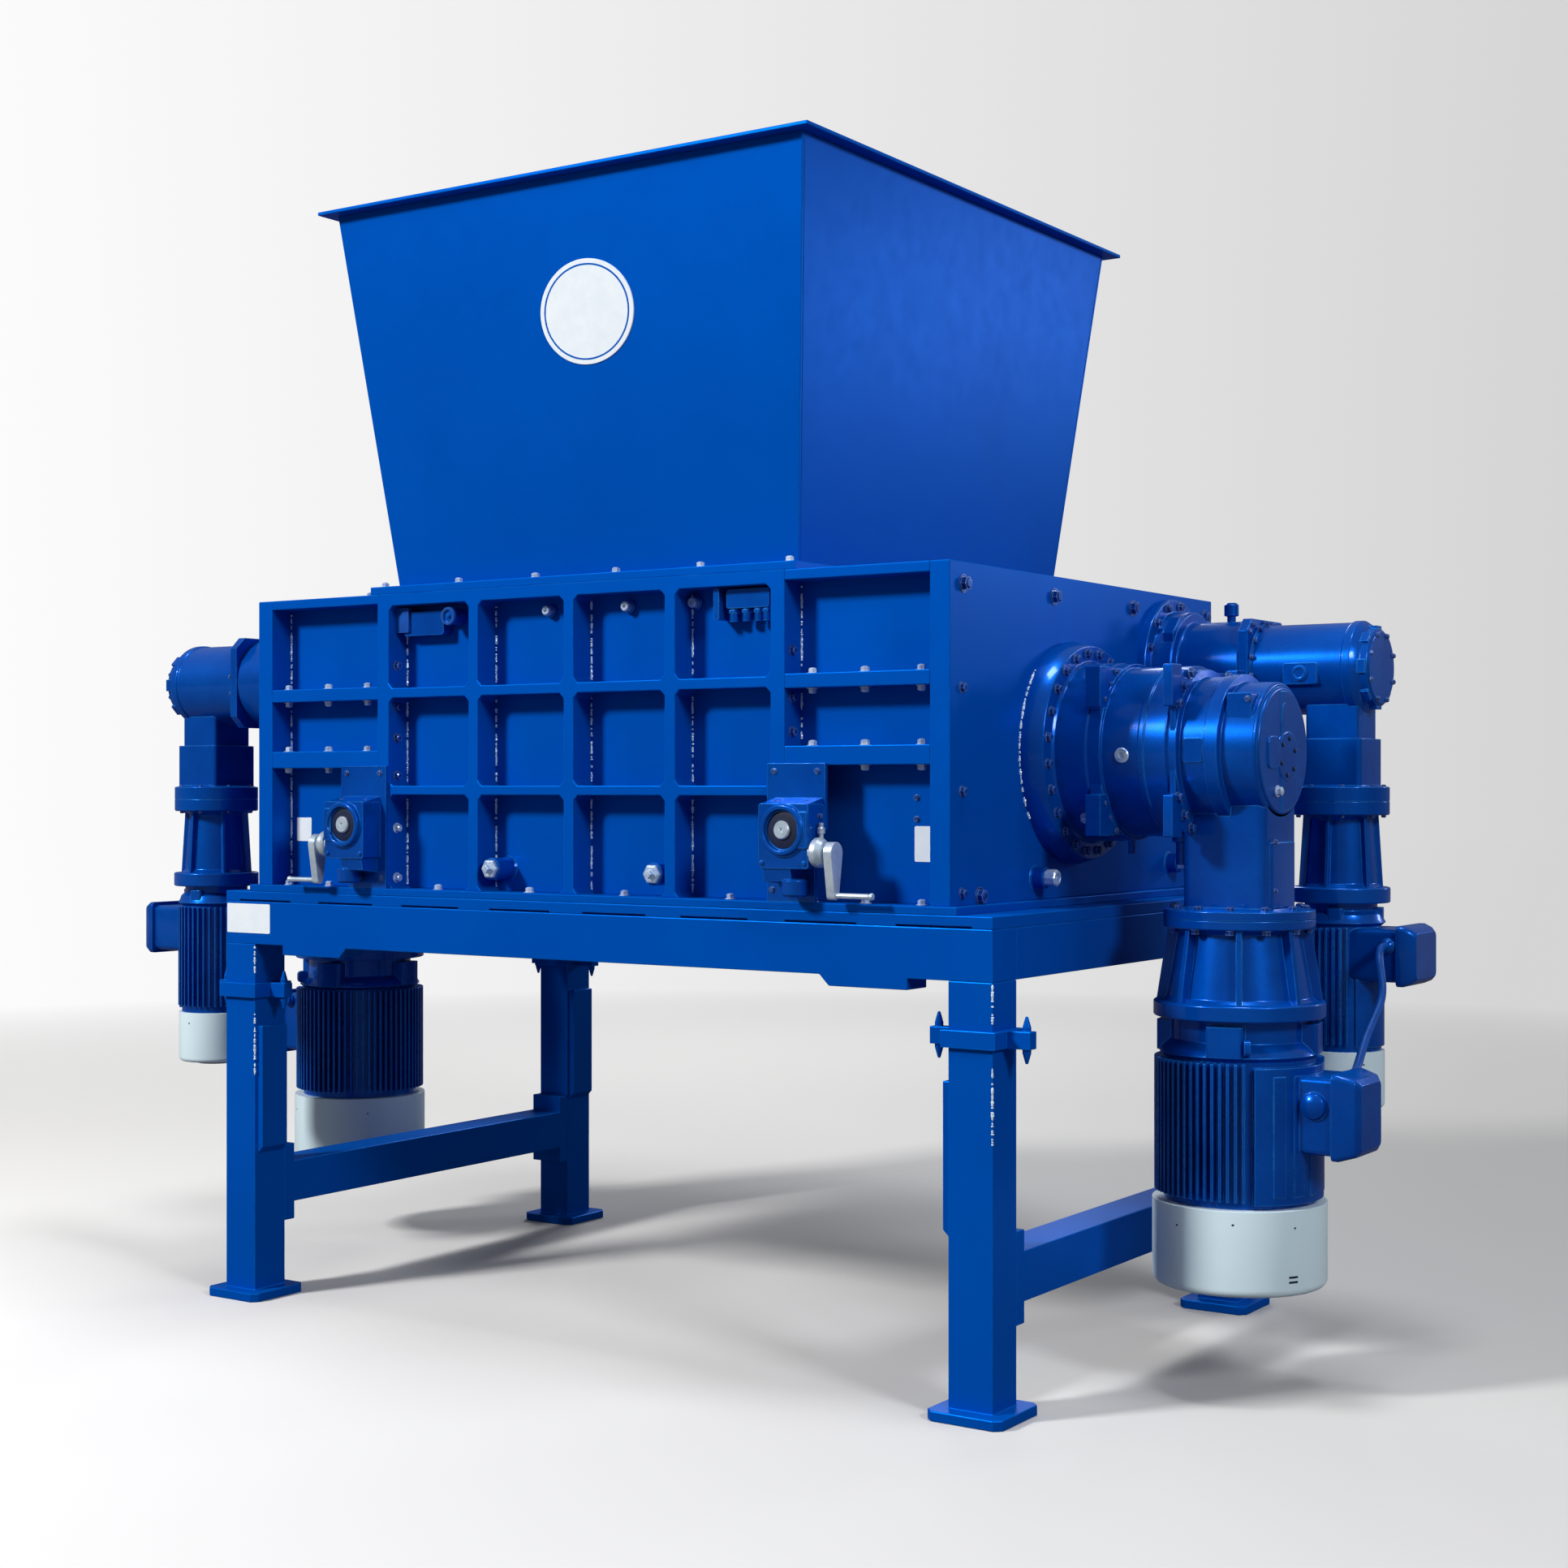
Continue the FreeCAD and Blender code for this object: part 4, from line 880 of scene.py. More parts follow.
largeSet = {
    "bossRadius": 0.290,
    "barrel": [
        (0.0, 0.290), (0.018, 0.290), (0.058, 0.277), (0.060, 0.275), (0.060, 0.236), (0.067, 0.229),
        (0.150, 0.229), (0.155, 0.226), (0.190, 0.226), (0.190, 0.2155), (0.287, 0.2155), (0.290, 0.218),
        (0.302, 0.218), (0.305, 0.2155), (0.360, 0.2155), (0.365, 0.206), (0.385, 0.206), (0.387, 0.187),
        (0.450, 0.187), (0.452, 0.192), (0.486, 0.192), (0.488, 0.172), (0.570, 0.170), (0.575, 0.165),
    ],
    "squares": [(0.157, 0.188, 0.2105, 0.050), (0.367, 0.383, 0.200, 0.050)],
    "columnX": (0.355, 0.575), "columnHalf": 0.105, "columnCorner": 0.022,
    "footRadius": 0.187, "footThickness": 0.022,
    "ringBolts": 24, "ringBoltRadius": 0.256,
    "weldArcs": ((27, 44), (2, 9), (58, 66)),  # steps of five degrees
    "pads": (0.108, 0.212), "padIn": 0.17, "padOut": 0.226,
    "columnPlate": (0.075, 0.03, 0.19),
    "nearPlate": ((0.496, 0.560), (0.055, 0.140), (0.152, 0.085)),
    "sideFoot": ((0.396, 0.446), 0.030, (0.1885, 0.15)),
    "drain": [(0, 0.017), (0.055, 0.017), (0.058, 0.026), (0.078, 0.026), (0.081, 0.018)],
    "drainPlace": (0.335, 0.05, 0.285),
    "sidePlug": [(0.205, 0.019), (0.2185, 0.019), (0.2205, 0.017), (0.2205, 0.008), (0.2165, 0.007)],
    "sidePlugReach": 0.246, "sidePlugTurn": 3,
}


def largeAxis(values):
    return (largeBox[0].y + largeBox[1].y) / 2, largeBox[1].z - values["bossRadius"]


def addClippedSquare(bm, x0, x1, y, z, half, corner):
    inner = half - corner
    outline = [(y - half, z - inner), (y - inner, z - half), (y + inner, z - half), (y + half, z - inner),
               (y + half, z + inner), (y + inner, z + half), (y - inner, z + half), (y - half, z + inner)]
    addPrism(bm, outline, "x", x0, x1)


def buildLargeGearbox(values):
    x = plateFace
    y, z = largeAxis(values)
    low = largeBox[0].z
    bm = bmesh.new()
    addLathe(bm, values["barrel"], (x, y, z), "x")
    for start, end, half, corner in values["squares"]:
        addClippedSquare(bm, x + start, x + end, y, z, half, corner)
        inner, outer = values["pads"]
        for side in (1, -1):
            near, far = sorted((y + side * values["padIn"], y + side * values["padOut"]))
            for bottom, top in ((z + inner, z + outer), (z - outer, z - inner)):
                outline = roundedOutline(near, far, bottom, top, 0.004)
                addPrism(bm, outline, "x", x + start - 0.006, x + end + 0.004)
    x0, x1 = (x + reach for reach in values["columnX"])
    half = values["columnHalf"]
    addPrism(bm, roundedOutline(x0, x1, y - half, y + half, values["columnCorner"]), "z", low + 0.02, z)
    wide, bottom, top = values["columnPlate"]
    addPrism(bm, roundedOutline(x1 - 0.03, x1 + 0.008, y - wide, y + wide, 0.008), "z", low + bottom, low + top)
    addLathe(bm, [(0, values["footRadius"]), (values["footThickness"], values["footRadius"]),
                  (values["footThickness"] + 0.006, values["footRadius"] - 0.03)],
             ((x0 + x1) / 2, y, low), "z")
    addEndCover(bm, coverSet, x + values["barrel"][-1][0], y, z)
    (first, last), (bottom, top), (near, far) = values["nearPlate"]
    addPrism(bm, roundedOutline(x + first, x + last, z + bottom, z + top, 0.006), "y", y - near, y - far)
    (first, last), half, (near, far) = values["sideFoot"]
    for angle in (0, 180):
        foot = bmesh.new()
        addPrism(foot, roundedOutline(x + first, x + last, z - half, z + half, 0.006), "y", y - near, y - far)
        turnMesh(foot, angle, (x, y, z), "x")
        mergeMesh(bm, foot)
    along, side, drop = values["drainPlace"]
    addLathe(bm, values["drain"], (x + along, y - side, z - drop), "z", 24)
    addBox(bm, (x + 0.166, y - 0.012, z - 0.262), (x + 0.176, y + 0.012, z - 0.20))
    return bm


def buildSidePlug(values):
    x = plateFace
    y, z = largeAxis(values)
    bm = bmesh.new()
    addLathe(bm, values["sidePlug"], (0, 0, 0), "z", 32)
    turnMesh(bm, 90 + values["sidePlugTurn"], (0, 0, 0), "x")
    bmesh.ops.translate(bm, verts=bm.verts, vec=(x + values["sidePlugReach"], y, z))
    addTurnedCopy(bm)
    return bm


coverSet = {
    "plate": [(0, 0.158), (0.006, 0.158), (0.009, 0.154)],
    "rim": 0.148, "rimSweep": 196, "rimSteps": 30,
    "hub": [(0, 0.066), (0.014, 0.066), (0.017, 0.062)], "hubPlace": (0.02, 0.015),
    "lug": (-0.105, -0.035, -0.045, 0.035, 0.018),
    "bar": (-0.012, 0.012, 0.060, 0.118, 0.010),
}


def addEndCover(bm, values, x, y, z):
    addLathe(bm, values["plate"], (x - 0.002, y, z), "x", 72)
    radius, sweep, steps = values["rim"], values["rimSweep"], values["rimSteps"]
    angles = [math.radians(-sweep / 2 + sweep * step / steps) for step in range(steps + 1)]
    rim = [(y + radius * math.cos(angle), z + radius * math.sin(angle)) for angle in angles]
    addPrism(bm, rim, "x", x + 0.004, x + 0.0095)
    side, drop = values["hubPlace"]
    addLathe(bm, values["hub"], (x - 0.006, y + side, z - drop), "x", 48)
    for label, start, end in (("lug", 0.0, 0.0115), ("bar", 0.004, 0.0105)):
        u0, u1, v0, v1, corner = values[label]
        addPrism(bm, roundedOutline(y + u0, y + u1, z + v0, z + v1, corner), "x", x + start, x + end)


def makeLargeBolts(values):
    x = plateFace
    y, z = largeAxis(values)
    motorX = x + sum(values["columnX"]) / 2
    addBolts("flange", ringPlaces(values["ringBolts"], values["ringBoltRadius"], (x + 0.060, y, z), "x", 7), (1, 0, 0))
    for quarter in (45, 135, 225, 315):
        addBolts("trim", ringPlaces(3, 0.238, (x + 0.190, y, z), "x", quarter - 12, 36), (1, 0, 0))
        addBolts("flange", ringPlaces(3, 0.224, (x + 0.385, y, z), "x", quarter - 14, 42), (1, 0, 0))
    addBolts("dark", ringPlaces(6, 0.046, (x + 0.586, y + 0.02, z - 0.015), "x", 20), (1, 0, 0))
    addBolts("bright", [(x + 0.584, y - 0.045, z - 0.10)], (1, 0, 0))
    addBolts("trim", [(x + 0.550, y - 0.1525, z + 0.125)], (0, -1, 0))
    addBolts("bright", [(x + 0.120, y - 0.160, z - 0.166)], (0, -0.69, -0.72))
    for rise in (-0.10, 0.10):
        addBolts("trim", [(x + 0.575 + 0.0085, y - 0.060, z - 0.285 + rise * 0.6)], (1, 0, 0))
    foot = largeBox[0].z + values["footThickness"]
    addBolts("flange", ringPlaces(12, 0.162, (motorX, y, foot), "z", 15), (0, 0, 1))
    addBolts("flange", ringPlaces(12, 0.170, (motorX, y, foot - 0.045), "z", 15), (0, 0, -1))
    boss = ringPlaces(72, values["bossRadius"] + 0.001, (x + 0.001, y, z), "x")
    for first, last in values["weldArcs"]:
        addWeld(boss[first:last], bothEnds=True)


# small drive
smallSet = {
    "bossRadius": 0.208,
    "barrel": [
        (0.0, 0.208), (0.022, 0.208), (0.025, 0.205), (0.025, 0.172), (0.030, 0.170), (0.080, 0.170),
        (0.085, 0.165), (0.085, 0.141), (0.090, 0.138), (0.262, 0.138), (0.265, 0.135), (0.265, 0.128),
        (0.297, 0.128), (0.300, 0.123), (0.548, 0.123), (0.552, 0.127), (0.572, 0.127), (0.585, 0.118),
        (0.590, 0.112), (0.596, 0.106), (0.612, 0.104), (0.619, 0.096),
    ],
    "squares": [(0.052, 0.083, 0.150, 0.045), (0.267, 0.294, 0.138, 0.034)],
    "columnX": 0.505, "columnHalf": 0.0735, "columnFootHalf": 0.085, "columnStep": 0.168,
    "footRadius": 0.128, "footThickness": 0.038,
    "nearPlate": ((0.115, 0.020), (0.045, 0.012), (0.127, 0.1)),
    "nearPlug": [(0.002, 0.021), (-0.006, 0.021), (-0.008, 0.019), (-0.008, 0.013), (-0.004, 0.012)],
    "breather": [(0, 0.012), (0.02, 0.012), (0.022, 0.020), (0.052, 0.020), (0.058, 0.013)],
}


def smallAxis(values):
    return (smallBox[0].y + smallBox[1].y) / 2, smallBox[1].z - values["bossRadius"]


def buildSmallGearbox(values):
    x = plateFace
    y, z = smallAxis(values)
    low = smallBox[0].z
    bm = bmesh.new()
    addLathe(bm, values["barrel"], (x, y, z), "x", 80)
    for start, end, half, corner in values["squares"]:
        addClippedSquare(bm, x + start, x + end, y, z, half, corner)
    middle = x + values["columnX"]
    half, foot = values["columnHalf"], values["columnFootHalf"]
    step = low + values["columnStep"]
    addPrism(bm, roundedOutline(middle - half, middle + half, y - half, y + half, 0.012), "z", step, z)
    addPrism(bm, roundedOutline(middle - foot, middle + foot, y - foot, y + foot, 0.014), "z", low + 0.03, step)
    addLathe(bm, [(0, values["footRadius"]), (values["footThickness"], values["footRadius"]),
                  (values["footThickness"] + 0.005, values["footRadius"] - 0.02)], (middle, y, low), "z", 72)
    (first, last), (drop, rise), (near, far) = values["nearPlate"]
    outline = roundedOutline(middle - first, middle - last, z - drop, z + rise, 0.006)
    addPrism(bm, outline, "y", y - near, y - far)
    addLathe(bm, values["nearPlug"], (middle - 0.068, y - near, z - 0.016), "y", 32)
    addLathe(bm, values["breather"], (x + 0.19, y, z + 0.133), "z", 24)
    for angle in range(0, 360, 45):
        lug = bmesh.new()
        addBox(lug, (x + 0.590, y - 0.018, z + 0.070), (x + 0.612, y + 0.018, z + 0.112))
        turnMesh(lug, angle, (x, y, z), "x")
        mergeMesh(bm, lug)
    return bm


def makeSmallBolts(values):
    x = plateFace
    y, z = smallAxis(values)
    middle = x + values["columnX"]
    addBolts("flange", ringPlaces(14, 0.189, (x + 0.025, y, z), "x", 6), (1, 0, 0))
    addBolts("trim", ringPlaces(16, 0.130, (x + 0.300, y, z), "x", 8), (1, 0, 0))
    for quarter in (45, 135, 225, 315):
        addBolts("trim", ringPlaces(2, 0.158, (x + 0.295, y, z), "x", quarter - 5, 20), (1, 0, 0))
    addBolts("trim", ringPlaces(8, 0.092, (x + 0.619, y, z), "x", 22), (1, 0, 0))
    foot = smallBox[0].z + values["footThickness"]
    addBolts("trim", ringPlaces(8, 0.112, (middle, y, foot), "z", 22), (0, 0, 1))
    addBolts("trim", ringPlaces(8, 0.112, (middle, y, foot - 0.075), "z", 22), (0, 0, -1))


# lanterns, motors and fan cowls
motorSets = {
    "large": {
        "centre": (plateFace + 0.465, (largeBox[0].y + largeBox[1].y) / 2), "top": largeBox[0].z,
        "headRadius": 0.187, "headHeight": 0.023, "neck": 0.150, "skirt": 0.178, "lanternHeight": 0.243,
        "footRadius": 0.212, "footHeight": 0.039, "ribs": 8, "ribWidth": 0.014, "ribReach": 0.026,
        "shoulder": 0.168, "shoulderHeight": 0.076, "lugReach": 0.200, "lugHalf": 0.045,
        "radius": 0.210, "core": 0.186, "height": 0.378, "finStep": 5.3, "finWidth": 0.0075,
        "padFrom": -57.0, "padTo": 28.0, "cowlRadius": 0.215, "cowlHeight": 0.210, "cowlCorner": 0.020,
        "inlet": 0.100, "inletHeight": 0.016,
        "slots": ((-34, 0.158, 7, 0.005), (-34, 0.170, 7, 0.005), (-112, 0.045, 1.4, 0.004), (-72, 0.030, 1.4, 0.004),
                  (-30, 0.040, 1.4, 0.004), (60, 0.045, 1.4, 0.004), (140, 0.045, 1.4, 0.004)),
        "boxReach": 0.340, "boxLid": 0.068, "boxWidth": 0.190, "boxRise": 0.123, "boxHeight": 0.210,
        "boxChamfer": 0.026, "dome": True, "glandSide": 1, "glandInset": 0.030, "glandRise": 0.179,
    },
    "small": {
        "centre": (plateFace + 0.505, (smallBox[0].y + smallBox[1].y) / 2), "top": smallBox[0].z,
        "headRadius": 0.128, "headHeight": 0.037, "neck": 0.084, "skirt": 0.096, "lanternHeight": 0.272,
        "footRadius": 0.130, "footHeight": 0.042, "ribs": 6, "ribWidth": 0.010, "ribReach": 0.016,
        "shoulder": 0.096, "shoulderHeight": 0.040, "lugReach": 0.112, "lugHalf": 0.022,
        "radius": 0.118, "core": 0.106, "height": 0.355, "finStep": 9.0, "finWidth": 0.006,
        "padFrom": -50.0, "padTo": 50.0, "cowlRadius": 0.115, "cowlHeight": 0.155, "cowlCorner": 0.014,
        "inlet": 0.058, "inletHeight": 0.008,
        "slots": ((-100, 0.030, 2.4, 0.004), (-40, 0.030, 2.4, 0.004), (-100, 0.044, 2.4, 0.004), (90, 0.030, 2.4, 0.004)),
        "boxReach": 0.235, "boxLid": 0.050, "boxWidth": 0.200, "boxRise": 0.180, "boxHeight": 0.160,
        "boxChamfer": 0.020, "dome": False, "glandSide": -1, "glandInset": 0.023, "glandRise": 0.107,
    },
}


def buildLantern(values):
    x, y = values["centre"]
    low = values["top"] - values["lanternHeight"]
    foot, head = values["footHeight"], values["headHeight"]
    rise = values["lanternHeight"]
    skirt, neck = values["skirt"], values["neck"]
    bm = bmesh.new()
    addLathe(bm, [
        (0, values["footRadius"] - 0.003), (0.003, values["footRadius"]), (foot - 0.003, values["footRadius"]),
        (foot, values["footRadius"] - 0.003), (foot + 0.001, skirt + 0.010), (foot + 0.010, skirt),
        (rise - head - 0.012, neck), (rise - head - 0.001, neck + 0.012), (rise - head, values["headRadius"] - 0.003),
        (rise - head + 0.003, values["headRadius"]), (rise, values["headRadius"]),
    ], (x, y, low), "z", 80)
    for index in range(values["ribs"]):
        rib = bmesh.new()
        half = values["ribWidth"] / 2
        outline = [(x + neck / 2, low + foot), (x + skirt + values["ribReach"], low + foot),
                   (x + neck + values["ribReach"], low + rise - head), (x + neck / 2, low + rise - head)]
        addPrism(rib, outline, "y", y - half, y + half)
        turnMesh(rib, 360.0 / values["ribs"] * (index + 0.5), (x, y, 0))
        mergeMesh(bm, rib)
    return bm


def addSector(bm, centre, inner, outer, start, end, low, high, steps=20):
    outline = []
    for radius, order in ((outer, range(steps + 1)), (inner, range(steps, -1, -1))):
        for step in order:
            angle = math.radians(start + (end - start) * step / steps)
            outline.append((centre[0] + radius * math.cos(angle), centre[1] + radius * math.sin(angle)))
    addPrism(bm, outline, "z", low, high)


def buildMotor(values):
    x, y = values["centre"]
    top = values["top"] - values["lanternHeight"]
    high = top - values["shoulderHeight"]
    low = high - values["height"]
    bm = bmesh.new()
    shoulder, core = values["shoulder"], values["core"]
    addLathe(bm, [
        (0, core), (values["height"] - 0.022, core), (values["height"] - 0.012, core + 0.012),
        (values["height"] - 0.002, core + 0.006), (values["height"] + 0.010, shoulder + 0.012),
        (values["height"] + 0.020, shoulder), (values["height"] + values["shoulderHeight"], shoulder),
    ], (x, y, low), "z", 80)
    addSector(bm, (x, y), core - 0.02, values["radius"] - 0.004, values["padFrom"], values["padTo"],
              low + 0.012, high - 0.035)
    for quarter in (0, 90, 180, 270):
        lug = bmesh.new()
        addPrism(lug, roundedOutline(x + shoulder - 0.04, x + values["lugReach"], y - values["lugHalf"],
                                     y + values["lugHalf"], 0.010), "z", high - 0.012, top - 0.012)
        turnMesh(lug, quarter + 12, (x, y, 0))
        mergeMesh(bm, lug)
    addTerminalBox(bm, values, x, y, low + values["boxRise"])
    if values["dome"]:
        side = y - (values["boxWidth"] / 2 - 0.010)
        rise = low + values["boxRise"] + values["boxHeight"] * 0.62
        addLathe(bm, [(0.004, 0.034), (-0.004, 0.034), (-0.012, 0.030), (-0.018, 0.020), (-0.021, 0.008)],
                 (x + values["boxReach"] - values["boxLid"] - 0.045, side, rise), "y", 36)
        for turn in (-62, 62):
            eye = bmesh.new()
            reach = values["shoulder"] + 0.012
            outline = roundedOutline(x + reach, x + reach + 0.034, high - 0.004, high + 0.034, 0.012)
            addPrism(eye, outline, "y", y - 0.008, y + 0.008)
            turnMesh(eye, turn, (x, y, 0))
            mergeMesh(bm, eye)
        outer = values["radius"]
        for groove in (-44, -28, -12):
            addSector(bm, (x, y), outer - 0.006, outer - 0.001, groove, groove + 9,
                      low + 0.030, high - 0.055, 4)
    return bm


def addTerminalBox(bm, values, x, y, low):
    half = values["boxWidth"] / 2
    rim = 0.010
    lidStart = x + values["boxReach"] - values["boxLid"]
    lidEnd = x + values["boxReach"]
    high = low + values["boxHeight"]
    addPrism(bm, roundedOutline(y - half + rim, y + half - rim, low + rim, high - rim, 0.016), "x", x, lidStart)
    cut = values["boxChamfer"]
    rings = []
    for distance, inset in ((lidStart, 0.0), (lidStart + 0.016, 0.0), (lidEnd - 0.012, cut * 0.45), (lidEnd, cut)):
        outline = roundedOutline(y - half + inset, y + half - inset, low + inset, high - inset, 0.014)
        rings.append([bm.verts.new((distance, u, v)) for u, v in outline])
    bridgeRings(bm, rings)
    closeEnds(bm, rings)
    side = values["glandSide"]
    face = y + side * (half - rim)
    addLathe(bm, [(0, 0.020), (side * 0.008, 0.020), (side * 0.009, 0.017), (side * 0.016, 0.017), (side * 0.020, 0.0125)],
             (lidStart - values["glandInset"], face, low + values["glandRise"]), "y", 24)


def cowlTop(values):
    return values["top"] - values["lanternHeight"] - values["shoulderHeight"] - values["height"]


def buildCowl(values):
    x, y = values["centre"]
    top = cowlTop(values)
    radius, height, corner = values["cowlRadius"], values["cowlHeight"], values["cowlCorner"]
    profile = [(0, radius - 0.003), (0, radius), (-(height - corner), radius)]
    for step in range(1, 6):
        angle = math.radians(90 * step / 5)
        profile.append((-(height - corner) - corner * math.sin(angle), radius - corner + corner * math.cos(angle)))
    profile += [(-height, values["inlet"] + 0.012), (-height + 0.006, values["inlet"] + 0.006)]
    bm = bmesh.new()
    addLathe(bm, profile, (x, y, top), "z", 96)
    return bm


# painted shade: thin dark strips on the cowl stand for the slots' dark insides
def buildCowlSlots(values):
    x, y = values["centre"]
    top = cowlTop(values)
    radius = values["cowlRadius"]
    bm = bmesh.new()
    for angle, drop, wide, tall in values["slots"]:
        addSector(bm, (x, y), radius - 0.004, radius + 0.0006, angle, angle + wide, top - drop - tall, top - drop, 6)
    return bm


# painted shade: the inlet face and its rings are dark, for the shade behind the fan
def buildInlet(values):
    x, y = values["centre"]
    top = cowlTop(values) - values["cowlHeight"]
    bm = bmesh.new()
    radius, height = values["inlet"], values["inletHeight"]
    addLathe(bm, [(0.008, radius + 0.014), (-0.001, radius + 0.014), (-height, radius), (-height + 0.002, radius * 0.9),
                  (-0.002, radius * 0.88)], (x, y, top), "z", 64)
    for step in range(1, 5):
        ring = radius * (0.88 * step / 5)
        addLathe(bm, [(-0.003, ring - 0.003), (-height + 0.003, ring - 0.003), (-height + 0.003, ring + 0.003),
                      (-0.003, ring + 0.003)], (x, y, top), "z", 48)
    return bm


def makeFins(size, values, degrees):
    x, y = values["centre"]
    top = values["top"] - values["lanternHeight"] - values["shoulderHeight"]
    count = int((360 - (values["padTo"] - values["padFrom"])) / values["finStep"])
    height = values["height"] - 0.045
    mesh = growMesh(size + "Fins", bpy.data.meshes.new("finSeed"), finTree, {
        "Count": count, "Start Angle": math.radians(values["padTo"] + values["finStep"] / 2),
        "Step Angle": math.radians(values["finStep"]), "Inner Radius": values["core"] - 0.002,
        "Depth": values["radius"] - values["core"] + 0.002, "Height": height,
        "Thickness": values["finWidth"], "Finish": castBlue,
    })
    mesh.transform(Matrix.Translation((x, y, top - 0.025 - height / 2)))
    mesh.transform(Matrix.Rotation(math.radians(degrees), 4, "Z"))
    return mesh


def makeDrives():
    for side, degrees in (("right", 0), ("left", 180)):
        for size, build, values in (("Large", buildLargeGearbox, largeSet), ("Small", buildSmallGearbox, smallSet)):
            bm = build(values)
            turnMesh(bm, degrees)
            makePiece(side + size + "Gearbox", bm, castBlue, bevel=0.002, stands=[f"{side}_{size.lower()}_gearbox"])
        for size in ("large", "small"):
            values = motorSets[size]
            bm = buildMotor(values)
            turnMesh(bm, degrees)
            bm.from_mesh(makeFins(size, values, degrees))
            makePiece(side + size.capitalize() + "Motor", bm, castBlue, bevel=0.0015,
                      stands=[f"{side}_{size}_motor"])
    for size in ("large", "small"):
        values = motorSets[size]
        bm = buildLantern(values)
        addTurnedCopy(bm)
        makePiece(size + "Lanterns", bm, castBlue, bevel=0.002, stands=[size + "_lanterns"])
        bm = buildCowl(values)
        addTurnedCopy(bm)
        makePiece(size + "FanCowls", bm, cowlEnamel, bevel=0.001, stands=[size + "_fan_cowls"])
        bm = buildInlet(values)
        mergeMesh(bm, buildCowlSlots(values))
        addTurnedCopy(bm)
        makePiece(size + "FanInlets", bm, darkRubberAndShade)
    makePiece("sidePlugs", buildSidePlug(largeSet), wornBolt)
    makeLargeBolts(largeSet)
    makeSmallBolts(smallSet)


makeDrives()
print("drives made")


# hand crank units
crankUnitSet = {
    "plateThickness": 0.012, "plateWidth": 0.173, "plateStrip": 0.030, "stripRise": 0.180,
    "boxX": (0.021, 0.169), "boxZ": (0.085, 0.245), "boxCorner": 0.008, "boxShoulder": 0.014,
    "ring": 0.064, "bore": 0.050, "boreRise": 0.095, "boxFace": 0.013, "shaft": 0.023,
    "hub": 0.037, "hubNeck": 0.028,
    "lowBoss": (0.010, 0.092), "lowBossDrop": 0.040,
}


def borePlace(values):
    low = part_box("right_crank_unit")[0]
    middle = low.x + sum(values["boxX"]) / 2
    return middle, low.y, low.z + values["boxZ"][0] + values["boreRise"]


def buildCrankUnit(values):
    low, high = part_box("right_crank_unit")
    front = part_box("front_ribs")[0].y
    plateFront = front - values["plateThickness"]
    boxFront = low.y + values["boxFace"]  # the bore ring stands proud of the box
    boxStart, boxEnd = (low.x + reach for reach in values["boxX"])
    boxLow, boxHigh = (low.z + rise for rise in values["boxZ"])
    centre = borePlace(values)
    right = low.x + values["plateWidth"]
    strip = right - values["plateStrip"]
    bm = bmesh.new()
    outline = [(low.x, low.z), (strip, low.z), (strip, low.z + values["stripRise"]),
               (right, low.z + values["stripRise"]), (right, high.z), (low.x, high.z)]
    addPrism(bm, outline, "y", plateFront, front)
    outline = roundedOutline(boxStart, boxEnd, boxLow, boxHigh, values["boxCorner"])
    addPrism(bm, outline, "y", boxFront, plateFront + 0.001)
    shoulder = values["boxShoulder"]
    addPrism(bm, [(boxFront + 0.002, boxHigh - 0.002), (plateFront, boxHigh - 0.002), (plateFront, boxHigh + shoulder)],
             "x", boxStart + 0.004, boxEnd - 0.004)
    ring, dish = values["ring"], values["bore"]
    addRing(bm, [(0.018, ring + 0.002), (0.004, ring), (0.0, ring - 0.004), (0.0, dish + 0.002), (0.003, dish),
                 (0.018, dish - 0.002)], centre, "y", 72)
    first, last = values["lowBoss"]
    bottom = boxLow - values["lowBossDrop"]
    addPrism(bm, [(boxFront + 0.004, boxLow + 0.004), (boxFront + 0.010, bottom + 0.008), (plateFront, bottom),
                  (plateFront, boxLow + 0.004)], "x", boxStart + first, boxStart + last)
    addLathe(bm, [(0, 0.026), (0.006, 0.032), (0.040, 0.032), (0.044, 0.028)],
             (centre[0] + 0.012, plateFront - 0.036, bottom - 0.030), "z", 36)
    addPrism(bm, roundedOutline(boxEnd - 0.030, boxEnd - 0.002, boxLow + 0.050, boxHigh - 0.020, 0.006), "y",
             boxFront - 0.006, boxFront + 0.002)
    for edge in (boxStart + 0.012, boxEnd - 0.012):
        addLathe(bm, [(0, 0.006), (-0.004, 0.006), (-0.006, 0.004)], (edge, boxFront, boxLow + 0.014), "y", 16)
    return bm


def crankAxis():
    low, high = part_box("right_crank")
    return (low.y + high.y) / 2, high.z - crankSet["boss"]


# painted shade: a dark disc inside the bore ring stands for the shade in the recess
def buildCrankDish(values):
    bm = bmesh.new()
    face, bore = values["boxFace"], values["bore"]
    addRing(bm, [(face - 0.0010, bore - 0.004), (face - 0.0022, bore - 0.012),
                 (face - 0.0022, 0.020), (face + 0.001, 0.020), (face + 0.001, bore - 0.004)],
            borePlace(values), "y")
    return bm


